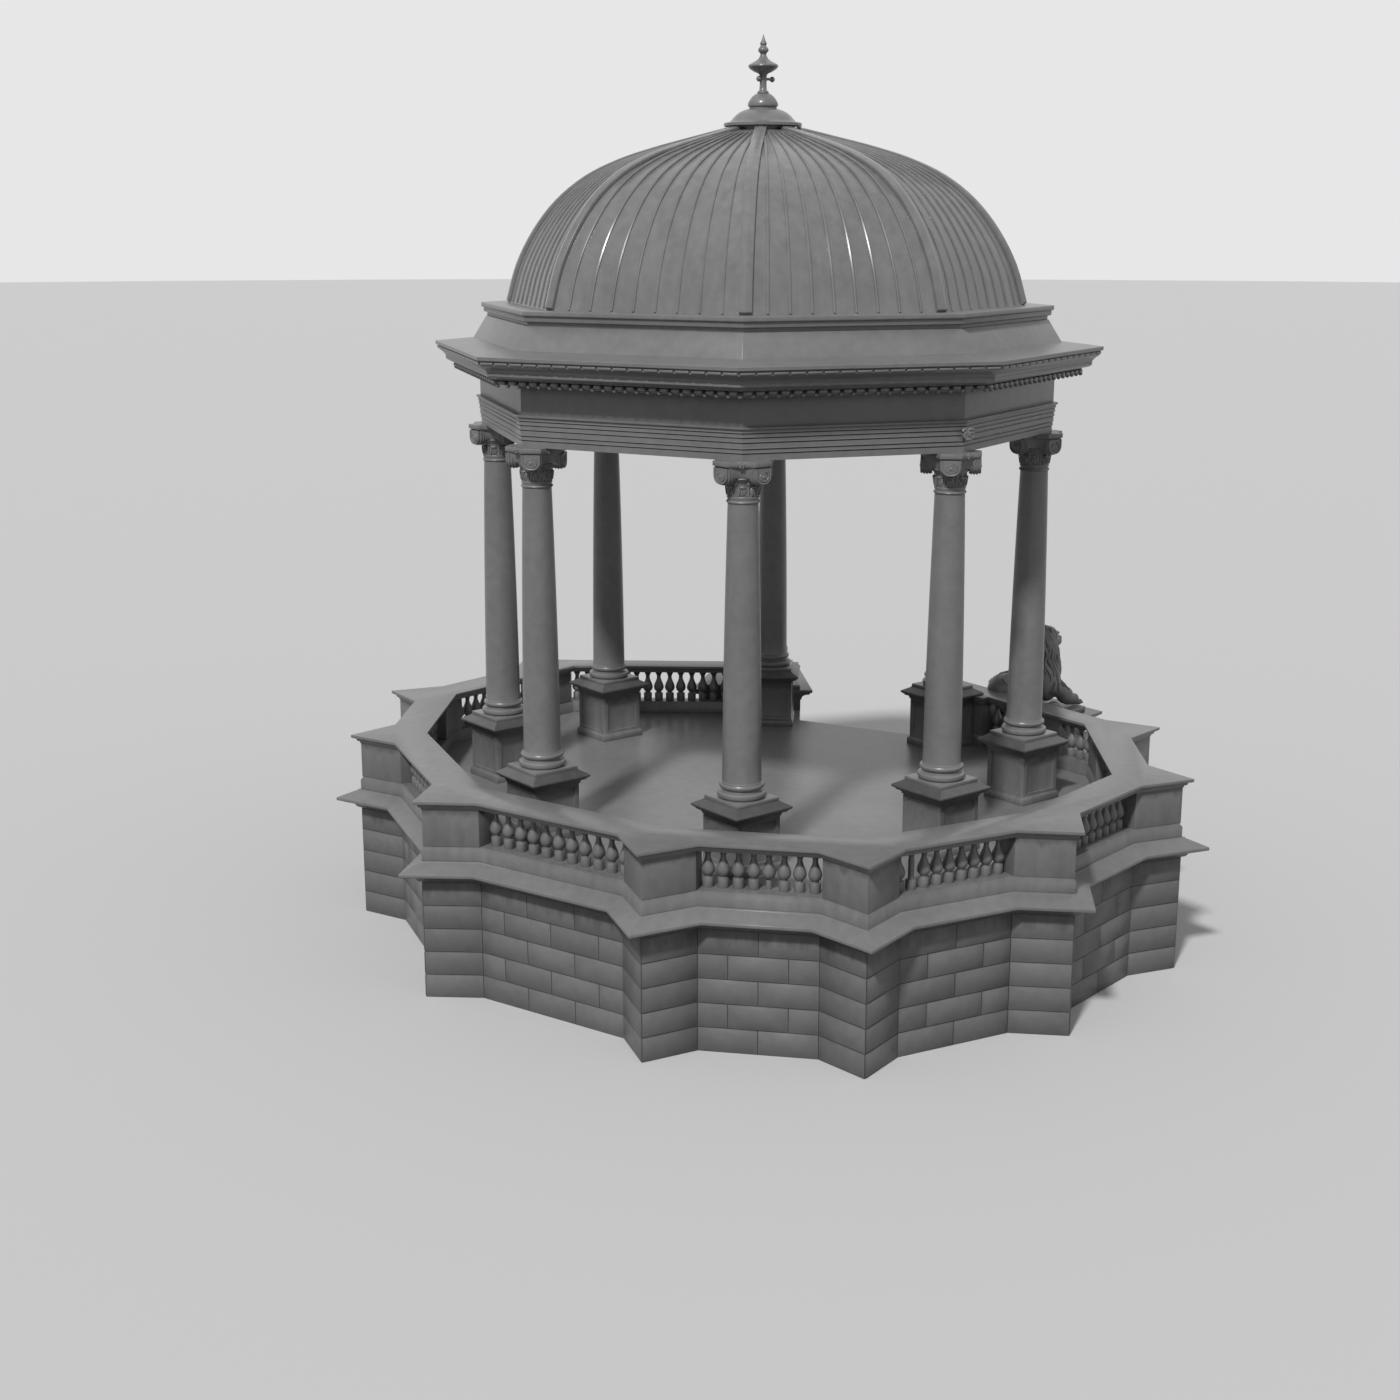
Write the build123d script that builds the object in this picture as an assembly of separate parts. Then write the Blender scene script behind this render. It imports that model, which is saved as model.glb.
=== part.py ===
from build123d import *
import math
import os

# Driving sizes of the pavilion, in millimetres. X points at one end column of the entrance
# side, Y at right angles to it, and the entrance lies between the first two columns.

# Plan of the colonnade: column centres by radius and bearing, in pairs across both axes
column_radius = 4500
column_bearing_between = 46.9
radius_on_y = column_radius - 45
radius_between = column_radius + 50

# Heights, from the ground up
wall_height = 1900
ledge_height = 203
floor_rise = 140
rail_height = 227
baluster_height = 600
coping_height = 145
pedestal_height = 1011
pedestal_weathering = 86
column_plinth_height = 56
column_base_height = 244
shaft_height = 4210
neck_height = 340
capital_height = 215
architrave_height = 484
frieze_height = 497
cornice_height = 471
cornice_weathering = 73
attic_height = 363
attic_ring_height = 222
dome_rise = 2751
collar_gap = 54
collar_height = 507
finial_height = 909

# Levels that follow from the heights
ledge_lip_top = wall_height + ledge_height
floor_top = ledge_lip_top + floor_rise
rail_top = floor_top + rail_height
coping_bottom = rail_top + baluster_height
coping_top = coping_bottom + coping_height
pedestal_lip_top = floor_top + pedestal_height
pedestal_top = pedestal_lip_top + pedestal_weathering
column_plinth_top = pedestal_top + column_plinth_height
shaft_foot = column_plinth_top + column_base_height
neck_ring_bottom = shaft_foot + shaft_height
neck_top = neck_ring_bottom + neck_height
architrave_bottom = neck_top + capital_height
frieze_bottom = architrave_bottom + architrave_height
frieze_top = frieze_bottom + frieze_height
cornice_top = frieze_top + cornice_height
attic_foot = cornice_top + cornice_weathering
attic_top = attic_foot + attic_height
attic_ring_top = attic_top + attic_ring_height
dome_top = attic_ring_top + dome_rise
collar_bottom = dome_top + collar_gap
collar_top = collar_bottom + collar_height

# Pointed corners of the terrace in one quarter: reach beyond the columns, bearing, facing
# and opening angle
tip_reach = [2268, 2423, 2849, 2771]
tip_bearing = [0, 36.2, 62.1, 90]
tip_facing = [0, 30.3, 55.2, 90]
tip_opening = [83, 80, 78, 89]
return_length = 915

# Walls of the terrace and its balustrade
wall_thickness = 500
wing_thickness = 350
wing_end_radius = column_radius + 950
ledge_overhang = 275
ledge_lip = 50
coping_overhang = 85
coping_lip = 45
paving_thickness = 100

# Balusters in each bay, from the corner on +Y round to the last corner before the entrance
balusters_in_bay = [9, 8, 11, 11, 8, 9, 9, 8]
baluster_belly = 95

# Entrance between the first column and the second
entrance_side = 550
entrance_edge = column_radius - 30
end_pier_length = 640
wing_die_place = 926
wing_die_width = 550
balusters_in_wing = {"right": [6, 3], "left": [10, 3]}
step_count = 12
step_tread = 280
tread_thickness = 60
tread_nosing = 25

# Piers of the two lions, measured along and across the line from the centre to the end column
lion_pier_axis = -430
lion_pier_front = column_radius + 2840
lion_pier_front_half = 663
lion_pier_height = 407
lion_pier_top = floor_top + lion_pier_height
lion_cap_height = 200
lion_cap_overhang = 240

# Lion, from its rump: distance, half-width, height and shoulder of each section of its back
lion_rump = column_radius + 1070
lion_plinth_height = 100
lion_back = [(0, 250, 260, 150), (80, 340, 470, 220), (280, 415, 610, 270)]
lion_back += [(580, 400, 640, 280), (880, 410, 860, 300), (1230, 410, 900, 300)]
lion_foreleg_place = 275
lion_foreleg = [(1130, 150, 430, 110), (1430, 150, 410, 110), (1560, 120, 290, 90), (1720, 115, 170, 80)]

# Mane and head: level, rear, front, half-width and corner of each slice
lion_mane = [(300, 780, 1360, 330, 160), (620, 760, 1490, 420, 200), (900, 780, 1490, 440, 210)]
lion_mane += [(1200, 830, 1450, 390, 180), (1330, 880, 1430, 330, 150)]
lion_mane += [(1490, 930, 1360, 260, 120), (1594, 1030, 1260, 130, 60)]

# Pedestals and columns
pedestal_die = 415
pedestal_foot_overhang = 35
pedestal_foot_height = 130
pedestal_cap_overhang = 134
pedestal_cap_height = 150
panel_margin = 95
panel_depth = 18
column_plinth = 404
shaft_foot_radius = 298
shaft_neck_radius = 228
neck_ring_overhang = 22

# Capitals
abacus_half = 455
abacus_height = 78
abacus_hollow = 60
block_inset = 45
volute_radius = 165
volute_depth = 190
volute_overhang = 8

# Entablature, offsets from the ring through the column centres
beam_inner = 250
frieze_face = 245
cornice_overhang = 665
attic_foot_face = 330
attic_top_face = 120
attic_ring_face = 195
roof_seat = 420
dentil_pitch = 175
dentil_width = 100

# Dome, its curve in shares of the foot's radius and of the rise
dome_foot = column_radius - 266
dome_curve = [(1, 0), (0.9211, 0.3308), (0.7274, 0.6805), (0.4084, 0.892), (0.1323, 1)]
dome_thickness = 150
dome_levels = 9
rib_width = 210
rib_height = 45
seams_in_facet = 8
seam_width = 45
seam_height = 28

# Collar and finial
collar_radius = 633
bulb_radius = 243


def polar(radius, bearing):
    angle = math.radians(bearing)
    return (radius * math.cos(angle), radius * math.sin(angle))


def line_through(first, second, inward):
    # A wall line as its outward normal and distance, moved inward by a thickness
    length = math.dist(first, second)
    normal = ((second[1] - first[1]) / length, (first[0] - second[0]) / length)
    reach = normal[0] * first[0] + normal[1] * first[1]
    if reach < 0:
        normal = (-normal[0], -normal[1])
        reach = -reach
    return (normal, reach - inward)


def crossing(first, second):
    (a, b), reach_1 = first
    (c, d), reach_2 = second
    bottom = a * d - b * c
    return ((reach_1 * d - b * reach_2) / bottom, (a * reach_2 - reach_1 * c) / bottom)


def offset_ring(points, distance):
    # Mitred offset of a polygon that runs anticlockwise
    count = len(points)
    moved = []
    for index in range(count):
        before = points[index - 1]
        here = points[index]
        after = points[(index + 1) % count]
        lines = []
        for start, end in ((before, here), (here, after)):
            length = math.dist(start, end)
            normal = ((end[1] - start[1]) / length, (start[0] - end[0]) / length)
            lines.append((normal, normal[0] * here[0] + normal[1] * here[1] + distance))
        moved.append(crossing(lines[0], lines[1]))
    return moved


def skin(rings, closed, caps=None):
    # A solid from rings of points that follow each other, each ring with the same count
    faces = []
    pairs = list(zip(rings, rings[1:]))
    if closed:
        pairs.append((rings[-1], rings[0]))
    for lower, upper in pairs:
        count = len(lower)
        for index in range(count):
            after = (index + 1) % count
            corners = [lower[index], lower[after], upper[after], upper[index]]
            faces.append(Face(Wire.make_polygon([Vector(*p) for p in corners])))
    if not closed:
        for ring in (rings[0], rings[-1]):
            for cap in caps or [range(len(ring))]:
                faces.append(Face(Wire.make_polygon([Vector(*ring[index]) for index in cap])))
    solid = Solid(Shell(faces))
    if solid.volume < 0:
        solid = -solid
    return solid


def at_level(points, height):
    return [(x, y, height) for x, y in points]


def stacked(points, profile):
    # A moulded block on a plan: the profile gives offset and level from the bottom up
    return skin([at_level(offset_ring(points, out), z) for out, z in profile], False)


def ringed(points, section):
    # A moulded ring: the closed section gives offset and level of each corner
    return skin([at_level(offset_ring(points, out), z) for out, z in section], True)


def prism(points, bottom, top):
    return stacked(points, [(0, bottom), (0, top)])


def curve(start, end, bulge, steps):
    # Quarter-ellipse between two corners of a profile, without its first point
    points = []
    for step in range(1, steps + 1):
        angle = math.radians(90 * step / steps)
        if bulge == "out_first":
            along, up = math.sin(angle), 1 - math.cos(angle)
        else:
            along, up = 1 - math.cos(angle), math.sin(angle)
        points.append((start[0] + (end[0] - start[0]) * along, start[1] + (end[1] - start[1]) * up))
    return points


def write(shape, name):
    export_step(shape, "parts/" + name + ".step")


os.makedirs("parts", exist_ok=True)

# Column centres, anticlockwise from the entrance's first column
ring = [polar(column_radius, 0)]
ring.append(polar(radius_between, column_bearing_between))
ring.append((0, radius_on_y))
ring.append(polar(radius_between, 180 - column_bearing_between))
ring.append(polar(column_radius, 180))
ring.append(polar(radius_between, 180 + column_bearing_between))
ring.append((0, -radius_on_y))
ring.append(polar(radius_between, -column_bearing_between))
column_facing = [math.degrees(math.atan2(y, x)) for x, y in ring]
entrance_bearing = column_bearing_between / 2


def tip(index, mirror_x, mirror_y):
    # One pointed corner: its two return corners with the tip between, anticlockwise
    point = polar(column_radius + tip_reach[index], tip_bearing[index])
    corners = []
    for side in (-1, 1):
        turn = polar(return_length, tip_facing[index] + 180 - side * tip_opening[index] / 2)
        corners.append((point[0] + turn[0], point[1] + turn[1]))
    three = [corners[0], point, corners[1]]
    if mirror_x != mirror_y:
        three.reverse()
    return [(x * (-1 if mirror_x else 1), y * (-1 if mirror_y else 1)) for x, y in three]


# The nine corners, anticlockwise from +Y to the last one before the entrance
tips = [tip(3, False, False)]
tips.append(tip(2, True, False))
tips.append(tip(1, True, False))
tips.append(tip(0, True, False))
tips.append(tip(1, True, True))
tips.append(tip(2, True, True))
tips.append(tip(3, True, True))
tips.append(tip(2, False, True))
tips.append(tip(1, False, True))


def beside_column(end, along, across):
    # A point by its distance along and across the line to an end column of the entrance,
    # where across counts towards the entrance
    if end == "right":
        bearing, side = 0, 1
    else:
        bearing, side = column_bearing_between, -1
    x, y = polar(along, bearing)
    dx, dy = polar(across * side, bearing + 90)
    return (x + dx, y + dy)


def along_column(end, across):
    # The line beside an end column that runs out from the centre
    return line_through(beside_column(end, 0, across), beside_column(end, 1000, across), 0)


ends = {"right": tips[-1][2], "left": tips[0][0]}
wing_face = {}
wing_inner = {}
for end, corner in ends.items():
    wing_face[end] = line_through(corner, beside_column(end, wing_end_radius, 0), 0)
    wing_inner[end] = line_through(corner, beside_column(end, wing_end_radius, 0), wing_thickness)

# Inner lines of the balustrade: wing, eight bays, wing
bay_lines = []
for before, after in zip(tips, tips[1:]):
    bay_lines.append(line_through(before[2], after[0], wall_thickness))
inner_lines = [wing_inner["left"]] + bay_lines + [wing_inner["right"]]
inner_corners = [crossing(a, b) for a, b in zip(inner_lines, inner_lines[1:])]


def on_wing(end, line, across):
    # The point of a wing's line at a distance across from the column's axis
    return crossing(line, along_column(end, across))


# Outline of the terrace at its wall face, anticlockwise
entrance_line = (polar(1, entrance_bearing), entrance_edge)
lion_pier_back_half = entrance_side - lion_pier_axis
edge_corner = {}
lion_plan = {}
for end in ends:
    side_line = along_column(end, entrance_side)
    edge_corner[end] = crossing(side_line, entrance_line)
    far_back = beside_column(end, wing_end_radius, lion_pier_axis - lion_pier_back_half)
    far_front = beside_column(end, lion_pier_front, lion_pier_axis - lion_pier_front_half)
    near_front = beside_column(end, lion_pier_front, lion_pier_axis + lion_pier_front_half)
    near_back = on_wing(end, wing_face[end], entrance_side)
    meets_wing = crossing(line_through(far_back, far_front, 0), wing_face[end])
    lion_plan[end] = [meets_wing, far_front, near_front, near_back]
star = [point for three in tips for point in three]
outline = star + lion_plan["right"] + [edge_corner["right"], edge_corner["left"]]
outline += lion_plan["left"][::-1]
floor_plan = inner_corners + [on_wing("right", wing_inner["right"], entrance_side)]
floor_plan += [edge_corner["right"], edge_corner["left"]]
floor_plan += [on_wing("left", wing_inner["left"], entrance_side)]

# The gap of the entrance, from the floor's edge out past the lions' piers
entrance_plan = []
for end in ("right", "left"):
    near_front, near_back = lion_plan[end][2], lion_plan[end][3]
    beyond = [near_back[i] + 2 * (near_front[i] - near_back[i]) for i in (0, 1)]
    side = [edge_corner[end], near_back, tuple(beyond)]
    entrance_plan += side if end == "right" else side[::-1]
entrance_gap = prism(entrance_plan, -1, lion_pier_top + 1)

# Terrace: core, ashlar wall, ledge and floor
core_top = floor_top - paving_thickness
core = prism(floor_plan, 0, core_top)
floor = prism(floor_plan, core_top, floor_top)
wall = prism(outline, 0, wall_height) - prism(floor_plan, -1, floor_top + 1)
ledge_under = ledge_lip_top - ledge_lip
ledge_profile = [(0, wall_height), (50, wall_height + 25)]
ledge_profile += curve((60, wall_height + 30), (190, ledge_under - 35), "up_first", 3)
ledge_profile += [(190, ledge_under - 12), (ledge_overhang, ledge_under)]
ledge_profile += [(ledge_overhang, ledge_lip_top), (30, floor_top - 12), (30, floor_top)]
ledge = stacked(outline, ledge_profile) - prism(floor_plan, -1, floor_top + 1) - entrance_gap
write(core, "terrace_core")
write(floor, "floor")
write(wall, "terrace_wall")
write(ledge, "ledge")

# Steps: a stepped mass with a tread slab on each step
riser = floor_top / step_count
far = 9000
step_line = polar(1, entrance_bearing)
masses = []
treads = []
for step in range(1, step_count):
    near = entrance_edge + (step - 1) * step_tread
    top = floor_top - step * riser
    strip = []
    for along, across in ((near, -far), (near + step_tread, -far), (near + step_tread, far), (near, far)):
        x, y = along * step_line[0], along * step_line[1]
        strip.append((x - across * step_line[1], y + across * step_line[0]))
    masses.append(prism(strip, 0, top - tread_thickness) & entrance_gap)
    nosing = list(strip)
    for index in (1, 2):
        x, y = strip[index]
        nosing[index] = (x + tread_nosing * step_line[0], y + tread_nosing * step_line[1])
    treads.append(prism(nosing, top - tread_thickness, top) & entrance_gap)
steps = masses[0]
for mass in masses[1:]:
    steps = steps + mass
write(steps, "entrance_steps")
write(Compound(children=treads), "step_treads")

# Balustrade: the plan shared by its rail and coping, with a pier at each end of the wings
star_ends = {"right": [], "left": []}
for end in ends:
    pedestal_side = column_radius if end == "right" else radius_between
    pier_inner = line_through(
        beside_column(end, pedestal_side + pedestal_die, 0),
        beside_column(end, pedestal_side + pedestal_die, 1000), 0)
    near_side = along_column(end, pedestal_die)
    pier_back = beside_column(end, pedestal_side + pedestal_die, -end_pier_length)
    star_ends[end] = [on_wing(end, wing_face[end], pedestal_die), crossing(pier_inner, near_side)]
    star_ends[end] += [pier_back, on_wing(end, wing_inner[end], -end_pier_length)]
balustrade_plan = star + star_ends["right"] + inner_corners[::-1] + star_ends["left"][::-1]


# Pedestals: splayed foot, panelled die and weathered cap
def pedestal():
    cap = pedestal_lip_top - pedestal_cap_height
    foot = pedestal_die + pedestal_foot_overhang
    rim = pedestal_die + pedestal_cap_overhang
    profile = [(foot, floor_top), (foot, floor_top + 60)]
    profile += curve(profile[-1], (pedestal_die, floor_top + pedestal_foot_height), "up_first", 3)
    profile += [(pedestal_die, cap), (pedestal_die + 18, cap + 8), (pedestal_die + 18, cap + 25)]
    profile += curve(profile[-1], (rim - 50, cap + 70), "up_first", 3)
    profile += [(rim - 50, cap + 92), (rim - 22, cap + 98)]
    profile += [(rim - 22, cap + 112), (rim, cap + 116)]
    profile += [(rim, pedestal_lip_top), (column_plinth + 12, pedestal_top - 10)]
    profile += [(column_plinth + 12, pedestal_top)]
    square = [(1, 1), (-1, 1), (-1, -1), (1, -1)]
    body = skin([at_level([(x * half, y * half) for x, y in square], z) for half, z in profile], False)
    panel_bottom = floor_top + pedestal_foot_height + 60
    panel = Box(2 * (pedestal_die - panel_margin), 2 * panel_depth, cap - 60 - panel_bottom)
    for turn in range(4):
        place = Rot(0, 0, 90 * turn) * Pos(0, -pedestal_die, (cap - 60 + panel_bottom) / 2)
        body = body - place * panel
    return body


pedestal_body = pedestal()
pedestals = []
for number, (x, y) in enumerate(ring):
    turn = column_facing[number] if number < 2 else 0
    pedestals.append(Pos(x, y, 0) * Rot(0, 0, turn) * pedestal_body)
write(Compound(children=pedestals), "pedestals")

rail_profile = [(0, floor_top), (0, rail_top - 60), (-25, rail_top - 25), (-25, rail_top)]
plinth_course = stacked(balustrade_plan, rail_profile)
coping_profile = [(-10, coping_bottom), (-10, coping_bottom + 30), (20, coping_bottom + 38)]
coping_profile += curve((20, coping_bottom + 50), (60, coping_top - 60), "up_first", 3)
coping_profile += [(coping_overhang, coping_top - coping_lip), (coping_overhang, coping_top)]
coping = stacked(balustrade_plan, coping_profile)
for body in pedestals[:2]:
    plinth_course = plinth_course - body
    coping = coping - body
write(plinth_course, "plinth_course")
write(coping, "coping")


# Piers: the pointed corners, the dies of the wings and the piers at their ends
def inward(point, line, thickness):
    (a, b), reach = line
    return (point[0] - a * thickness, point[1] - b * thickness)


def spaced(points):
    # Leaves out a point that nearly touches the one before it
    return [point for index, point in enumerate(points) if math.dist(point, points[index - 1]) > 10]


pier_face = -20
pier_plans = []
for number, (before, point, after) in enumerate(tips):
    first_line, second_line = inner_lines[number], inner_lines[number + 1]
    first_depth = wing_thickness if number == 0 else wall_thickness
    second_depth = wing_thickness if number == len(tips) - 1 else wall_thickness
    plan = [before, point, after, inward(after, second_line, second_depth)]
    plan += [inner_corners[number], inward(before, first_line, first_depth)]
    pier_plans.append(spaced(plan))
for end, corner in ends.items():
    line = wing_face[end]
    (a, b), reach = line
    sign = 1 if end == "right" else -1
    along = (-b * sign, a * sign)
    die = []
    for distance in (wing_die_place - wing_die_width / 2, wing_die_place + wing_die_width / 2):
        die.append((corner[0] + along[0] * distance, corner[1] + along[1] * distance))
    pair = [inward(die[1], line, wing_thickness), inward(die[0], line, wing_thickness)]
    plan = die + pair if end == "right" else (die + pair)[::-1]
    pier_plans.append(plan)
    on_face = on_wing(end, line, -end_pier_length)
    plan = [on_face] + star_ends[end][:3]
    pier_plans.append(plan if end == "right" else plan[::-1])
piers = []
for plan in pier_plans:
    pier = stacked(plan, [(pier_face, rail_top), (pier_face, coping_bottom)])
    for body in pedestals[:2]:
        pier = pier - body
    piers.append(pier)
write(Compound(children=piers), "corner_piers")

# Balusters: a six-sided vase, set at even spacing in each bay. Its profile is in shares of
# the belly's radius and of the height.
baluster_profile = [(0.78, 0), (0.78, 0.27), (1, 0.46), (0.4, 0.8), (0.68, 0.9), (0.68, 1)]


def baluster():
    rings = []
    for share, rise in baluster_profile:
        points = [polar(share * baluster_belly, 60 * corner + 30) for corner in range(6)]
        rings.append(at_level(points, rail_top + rise * baluster_height))
    return skin(rings, False)


baluster_body = baluster()


def baluster_row(start, finish, count):
    row = []
    for index in range(count):
        share = (index + 0.5) / count
        x = start[0] + (finish[0] - start[0]) * share
        y = start[1] + (finish[1] - start[1]) * share
        row.append(Pos(x, y, 0) * baluster_body)
    return row


for number, count in enumerate(balusters_in_bay):
    line = bay_lines[number]
    start = inward(tips[number][2], line, wall_thickness / 2)
    finish = inward(tips[number + 1][0], line, wall_thickness / 2)
    write(Compound(children=baluster_row(start, finish, count)), "balusters_bay_" + str(number + 1))
for end, corner in ends.items():
    line = wing_face[end]
    pier_end = inward(on_wing(end, line, -end_pier_length), line, wing_thickness / 2)
    start = inward(corner, line, wing_thickness / 2)
    whole = math.dist(start, pier_end)
    marks = [0, wing_die_place - wing_die_width / 2, wing_die_place + wing_die_width / 2, whole]
    spots = []
    for mark in marks:
        share = mark / whole
        spots.append([start[i] + (pier_end[i] - start[i]) * share for i in (0, 1)])
    long_run, short_run = balusters_in_wing[end]
    wing = baluster_row(spots[2], spots[3], long_run) + baluster_row(spots[0], spots[1], short_run)
    write(Compound(children=wing), "balusters_wing_" + end)

# Piers of the lions
cap_foot = lion_pier_top - lion_cap_height
lion_cap = [(0, floor_top), (0, cap_foot), (25, cap_foot + 8), (25, cap_foot + 35)]
lion_cap += curve((25, cap_foot + 45), (lion_cap_overhang - 70, cap_foot + 105), "up_first", 3)
lion_cap += [(lion_cap_overhang - 50, cap_foot + 110), (lion_cap_overhang - 50, cap_foot + 135)]
lion_cap += [(lion_cap_overhang, cap_foot + 142), (lion_cap_overhang, lion_pier_top)]
lion_piers = {}
for end in ends:
    plan = lion_plan[end] if end == "right" else lion_plan[end][::-1]
    block = stacked(plan, lion_cap)
    behind = [on_wing(end, wing_face[end], across) for across in (-far, far)]
    behind += [beside_column(end, -far, across) for across in (far, -far)]
    block = block - prism(behind if end == "right" else behind[::-1], -1, lion_pier_top + 1)
    lion_piers[end] = block
    write(block, "lion_pier_" + end)


# Lions: each lies on a thin plinth, head raised, with its forelegs stretched out
def rounded_box(half, top, shoulder):
    # Half of a section across the body, right side up, made whole by its mirror image
    right = [(half, 0), (half, top - shoulder), (half - 0.3 * shoulder, top - 0.3 * shoulder)]
    right.append((half - shoulder, top))
    return right + [(-y, z) for y, z in right[::-1]]


def lying_lion():
    back = []
    for x, half, top, shoulder in lion_back:
        back.append([(x, y, z) for y, z in rounded_box(half, top, shoulder)])
    body = skin(back, False)
    mane = []
    for z, rear, front, half, corner in lion_mane:
        near = [(front - corner, half), (front, half - corner), (front, corner - half)]
        near += [(front - corner, -half), (rear + corner, -half), (rear, corner - half)]
        near += [(rear, half - corner), (rear + corner, half)]
        mane.append([(x, y, z) for x, y in near])
    body = body + skin(mane, False)
    for side in (-1, 1):
        leg = []
        for x, half, top, shoulder in lion_foreleg:
            leg.append([(x, y + side * lion_foreleg_place, z) for y, z in rounded_box(half, top, shoulder)])
        body = body + skin(leg, False)
    return body


lion_body = lying_lion()
for end in ends:
    plan = lion_plan[end] if end == "right" else lion_plan[end][::-1]
    plinth_top = lion_pier_top + lion_plinth_height
    plinth = stacked(plan, [(-5, lion_pier_top), (-5, plinth_top)])
    behind = [on_wing(end, wing_face[end], across) for across in (-far, far)]
    behind += [beside_column(end, -far, across) for across in (far, -far)]
    plinth = plinth - prism(behind if end == "right" else behind[::-1], -1, plinth_top + 1)
    bearing = 0 if end == "right" else column_bearing_between
    x, y = beside_column(end, lion_rump, lion_pier_axis)
    seat = Pos(x, y, plinth_top) * Rot(0, 0, bearing)
    write(plinth + seat * lion_body, "lion_" + end)


# Columns: a square plinth, two torus mouldings, a shaft with entasis and a neck ring
def turned(profile, radius, foot, height):
    # A turned solid. The profile is in shares of a radius and a height: a pair ends a
    # straight line, and four numbers end an arc that passes through the first two.
    here = (0, 0, foot)
    edges = []
    for entry in profile:
        there = (entry[-2] * radius, 0, foot + entry[-1] * height)
        if len(entry) == 2:
            edges.append(Line(here, there))
        else:
            middle = (entry[0] * radius, 0, foot + entry[1] * height)
            edges.append(ThreePointArc(here, middle, there))
        here = there
    edges.append(Line(here, (0, 0, foot)))
    return revolve(make_face(Wire(edges)), Axis.Z)


base_profile = [(1.084, 0), (1.268, 0.225, 1.084, 0.45), (1.013, 0.606), (1.154, 0.779, 1.013, 0.951)]
base_profile += [(1, 1), (0, 1)]
shaft_waist = 1 - 0.18 * (1 - shaft_neck_radius / shaft_foot_radius)
shaft_profile = [(1, 0), (shaft_waist, 0.33, shaft_neck_radius / shaft_foot_radius, 1), (0, 1)]


def column():
    middle = pedestal_top + column_plinth_height / 2
    plinth = Pos(0, 0, middle) * Box(2 * column_plinth, 2 * column_plinth, column_plinth_height)
    base = turned(base_profile, shaft_foot_radius, column_plinth_top, column_base_height)
    shaft = turned(shaft_profile, shaft_foot_radius, shaft_foot, shaft_height)
    return plinth + base + shaft


column_body = column()
for number, (x, y) in enumerate(ring):
    turn = column_facing[number] if number < 2 else 0
    write(Pos(x, y, 0) * Rot(0, 0, turn) * column_body, "column_" + str(number + 1))

# Capitals: a neck with its rings, a hollow-sided block, four corner volutes and an abacus
neck_ring_share = 1 + neck_ring_overhang / shaft_neck_radius
neck_profile = [(1, 0), (neck_ring_share, 0.068, 1, 0.135), (1.03, 0.245), (1.03, 0.31), (0.99, 0.34)]
neck_profile += [(1, 0.6), (1.06, 0.82, 1.3, 1), (0, 1)]


def hollow_plate(half, bottom, top):
    # A square plate with four sides that curve inwards, its corners cut as wide as a volute
    corner = half - volute_radius * math.sqrt(2)
    sides = []
    for turn in range(4):
        side = ThreePointArc((-corner, -half), (0, abacus_hollow - half), (corner, -half))
        sides.append(Rot(0, 0, 90 * turn) * side)
        sides.append(Rot(0, 0, 90 * turn) * Line((corner, -half), (half, -corner)))
    return Pos(0, 0, bottom) * extrude(make_face(Wire(sides)), top - bottom)


def capital():
    abacus_bottom = architrave_bottom - abacus_height
    body = turned(neck_profile, shaft_neck_radius, neck_ring_bottom, neck_height)
    body = body + hollow_plate(abacus_half - block_inset, neck_top, abacus_bottom)
    body = body + hollow_plate(abacus_half, abacus_bottom, architrave_bottom)
    half_round = ThreePointArc((0, -volute_radius, 0), (0, 0, -volute_radius), (0, volute_radius, 0))
    side = make_face(Wire([half_round, Line((0, volute_radius, 0), (0, -volute_radius, 0))]))
    volute = extrude(side, volute_depth, dir=(1, 0, 0))
    corner_reach = abacus_half * math.sqrt(2) - volute_radius
    for turn in range(4):
        start = corner_reach + volute_overhang - volute_depth
        body = body + Rot(0, 0, 45 + 90 * turn) * Pos(start, 0, abacus_bottom) * volute
    return body


capital_body = capital()
capitals = []
for number, (x, y) in enumerate(ring):
    capitals.append(Pos(x, y, 0) * Rot(0, 0, column_facing[number]) * capital_body)
write(Compound(children=capitals), "capitals")

# Entablature: mitred rings on the octagon of the column centres
fascia_shares = [0, 0.219, 0.351, 0.543, 0.692, 0.824]
crown_face = frieze_face + 37
crown_foot = frieze_bottom - 50
architrave_section = [(-beam_inner, architrave_bottom)]
for number, share in enumerate(fascia_shares):
    face = frieze_face - 8 + 9 * number
    level = architrave_bottom + share * architrave_height
    if number > 0:
        architrave_section.append((face - 9, level))
    architrave_section.append((face, level))
architrave_section.append((crown_face, crown_foot))
architrave_section += curve((crown_face, crown_foot), (crown_face + 25, frieze_bottom - 18), "up_first", 2)
architrave_section += [(crown_face + 25, frieze_bottom), (-beam_inner, frieze_bottom)]
write(ringed(ring, architrave_section), "architrave")
frieze_section = [(-beam_inner, frieze_bottom), (frieze_face, frieze_bottom)]
frieze_section += [(frieze_face, frieze_top), (-beam_inner, frieze_top)]
write(ringed(ring, frieze_section), "frieze")


def cornice_corner(reach, rise):
    # A corner of the cornice in shares of its overhang and height
    return (frieze_face + reach * cornice_overhang, frieze_top + rise * cornice_height)


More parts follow.
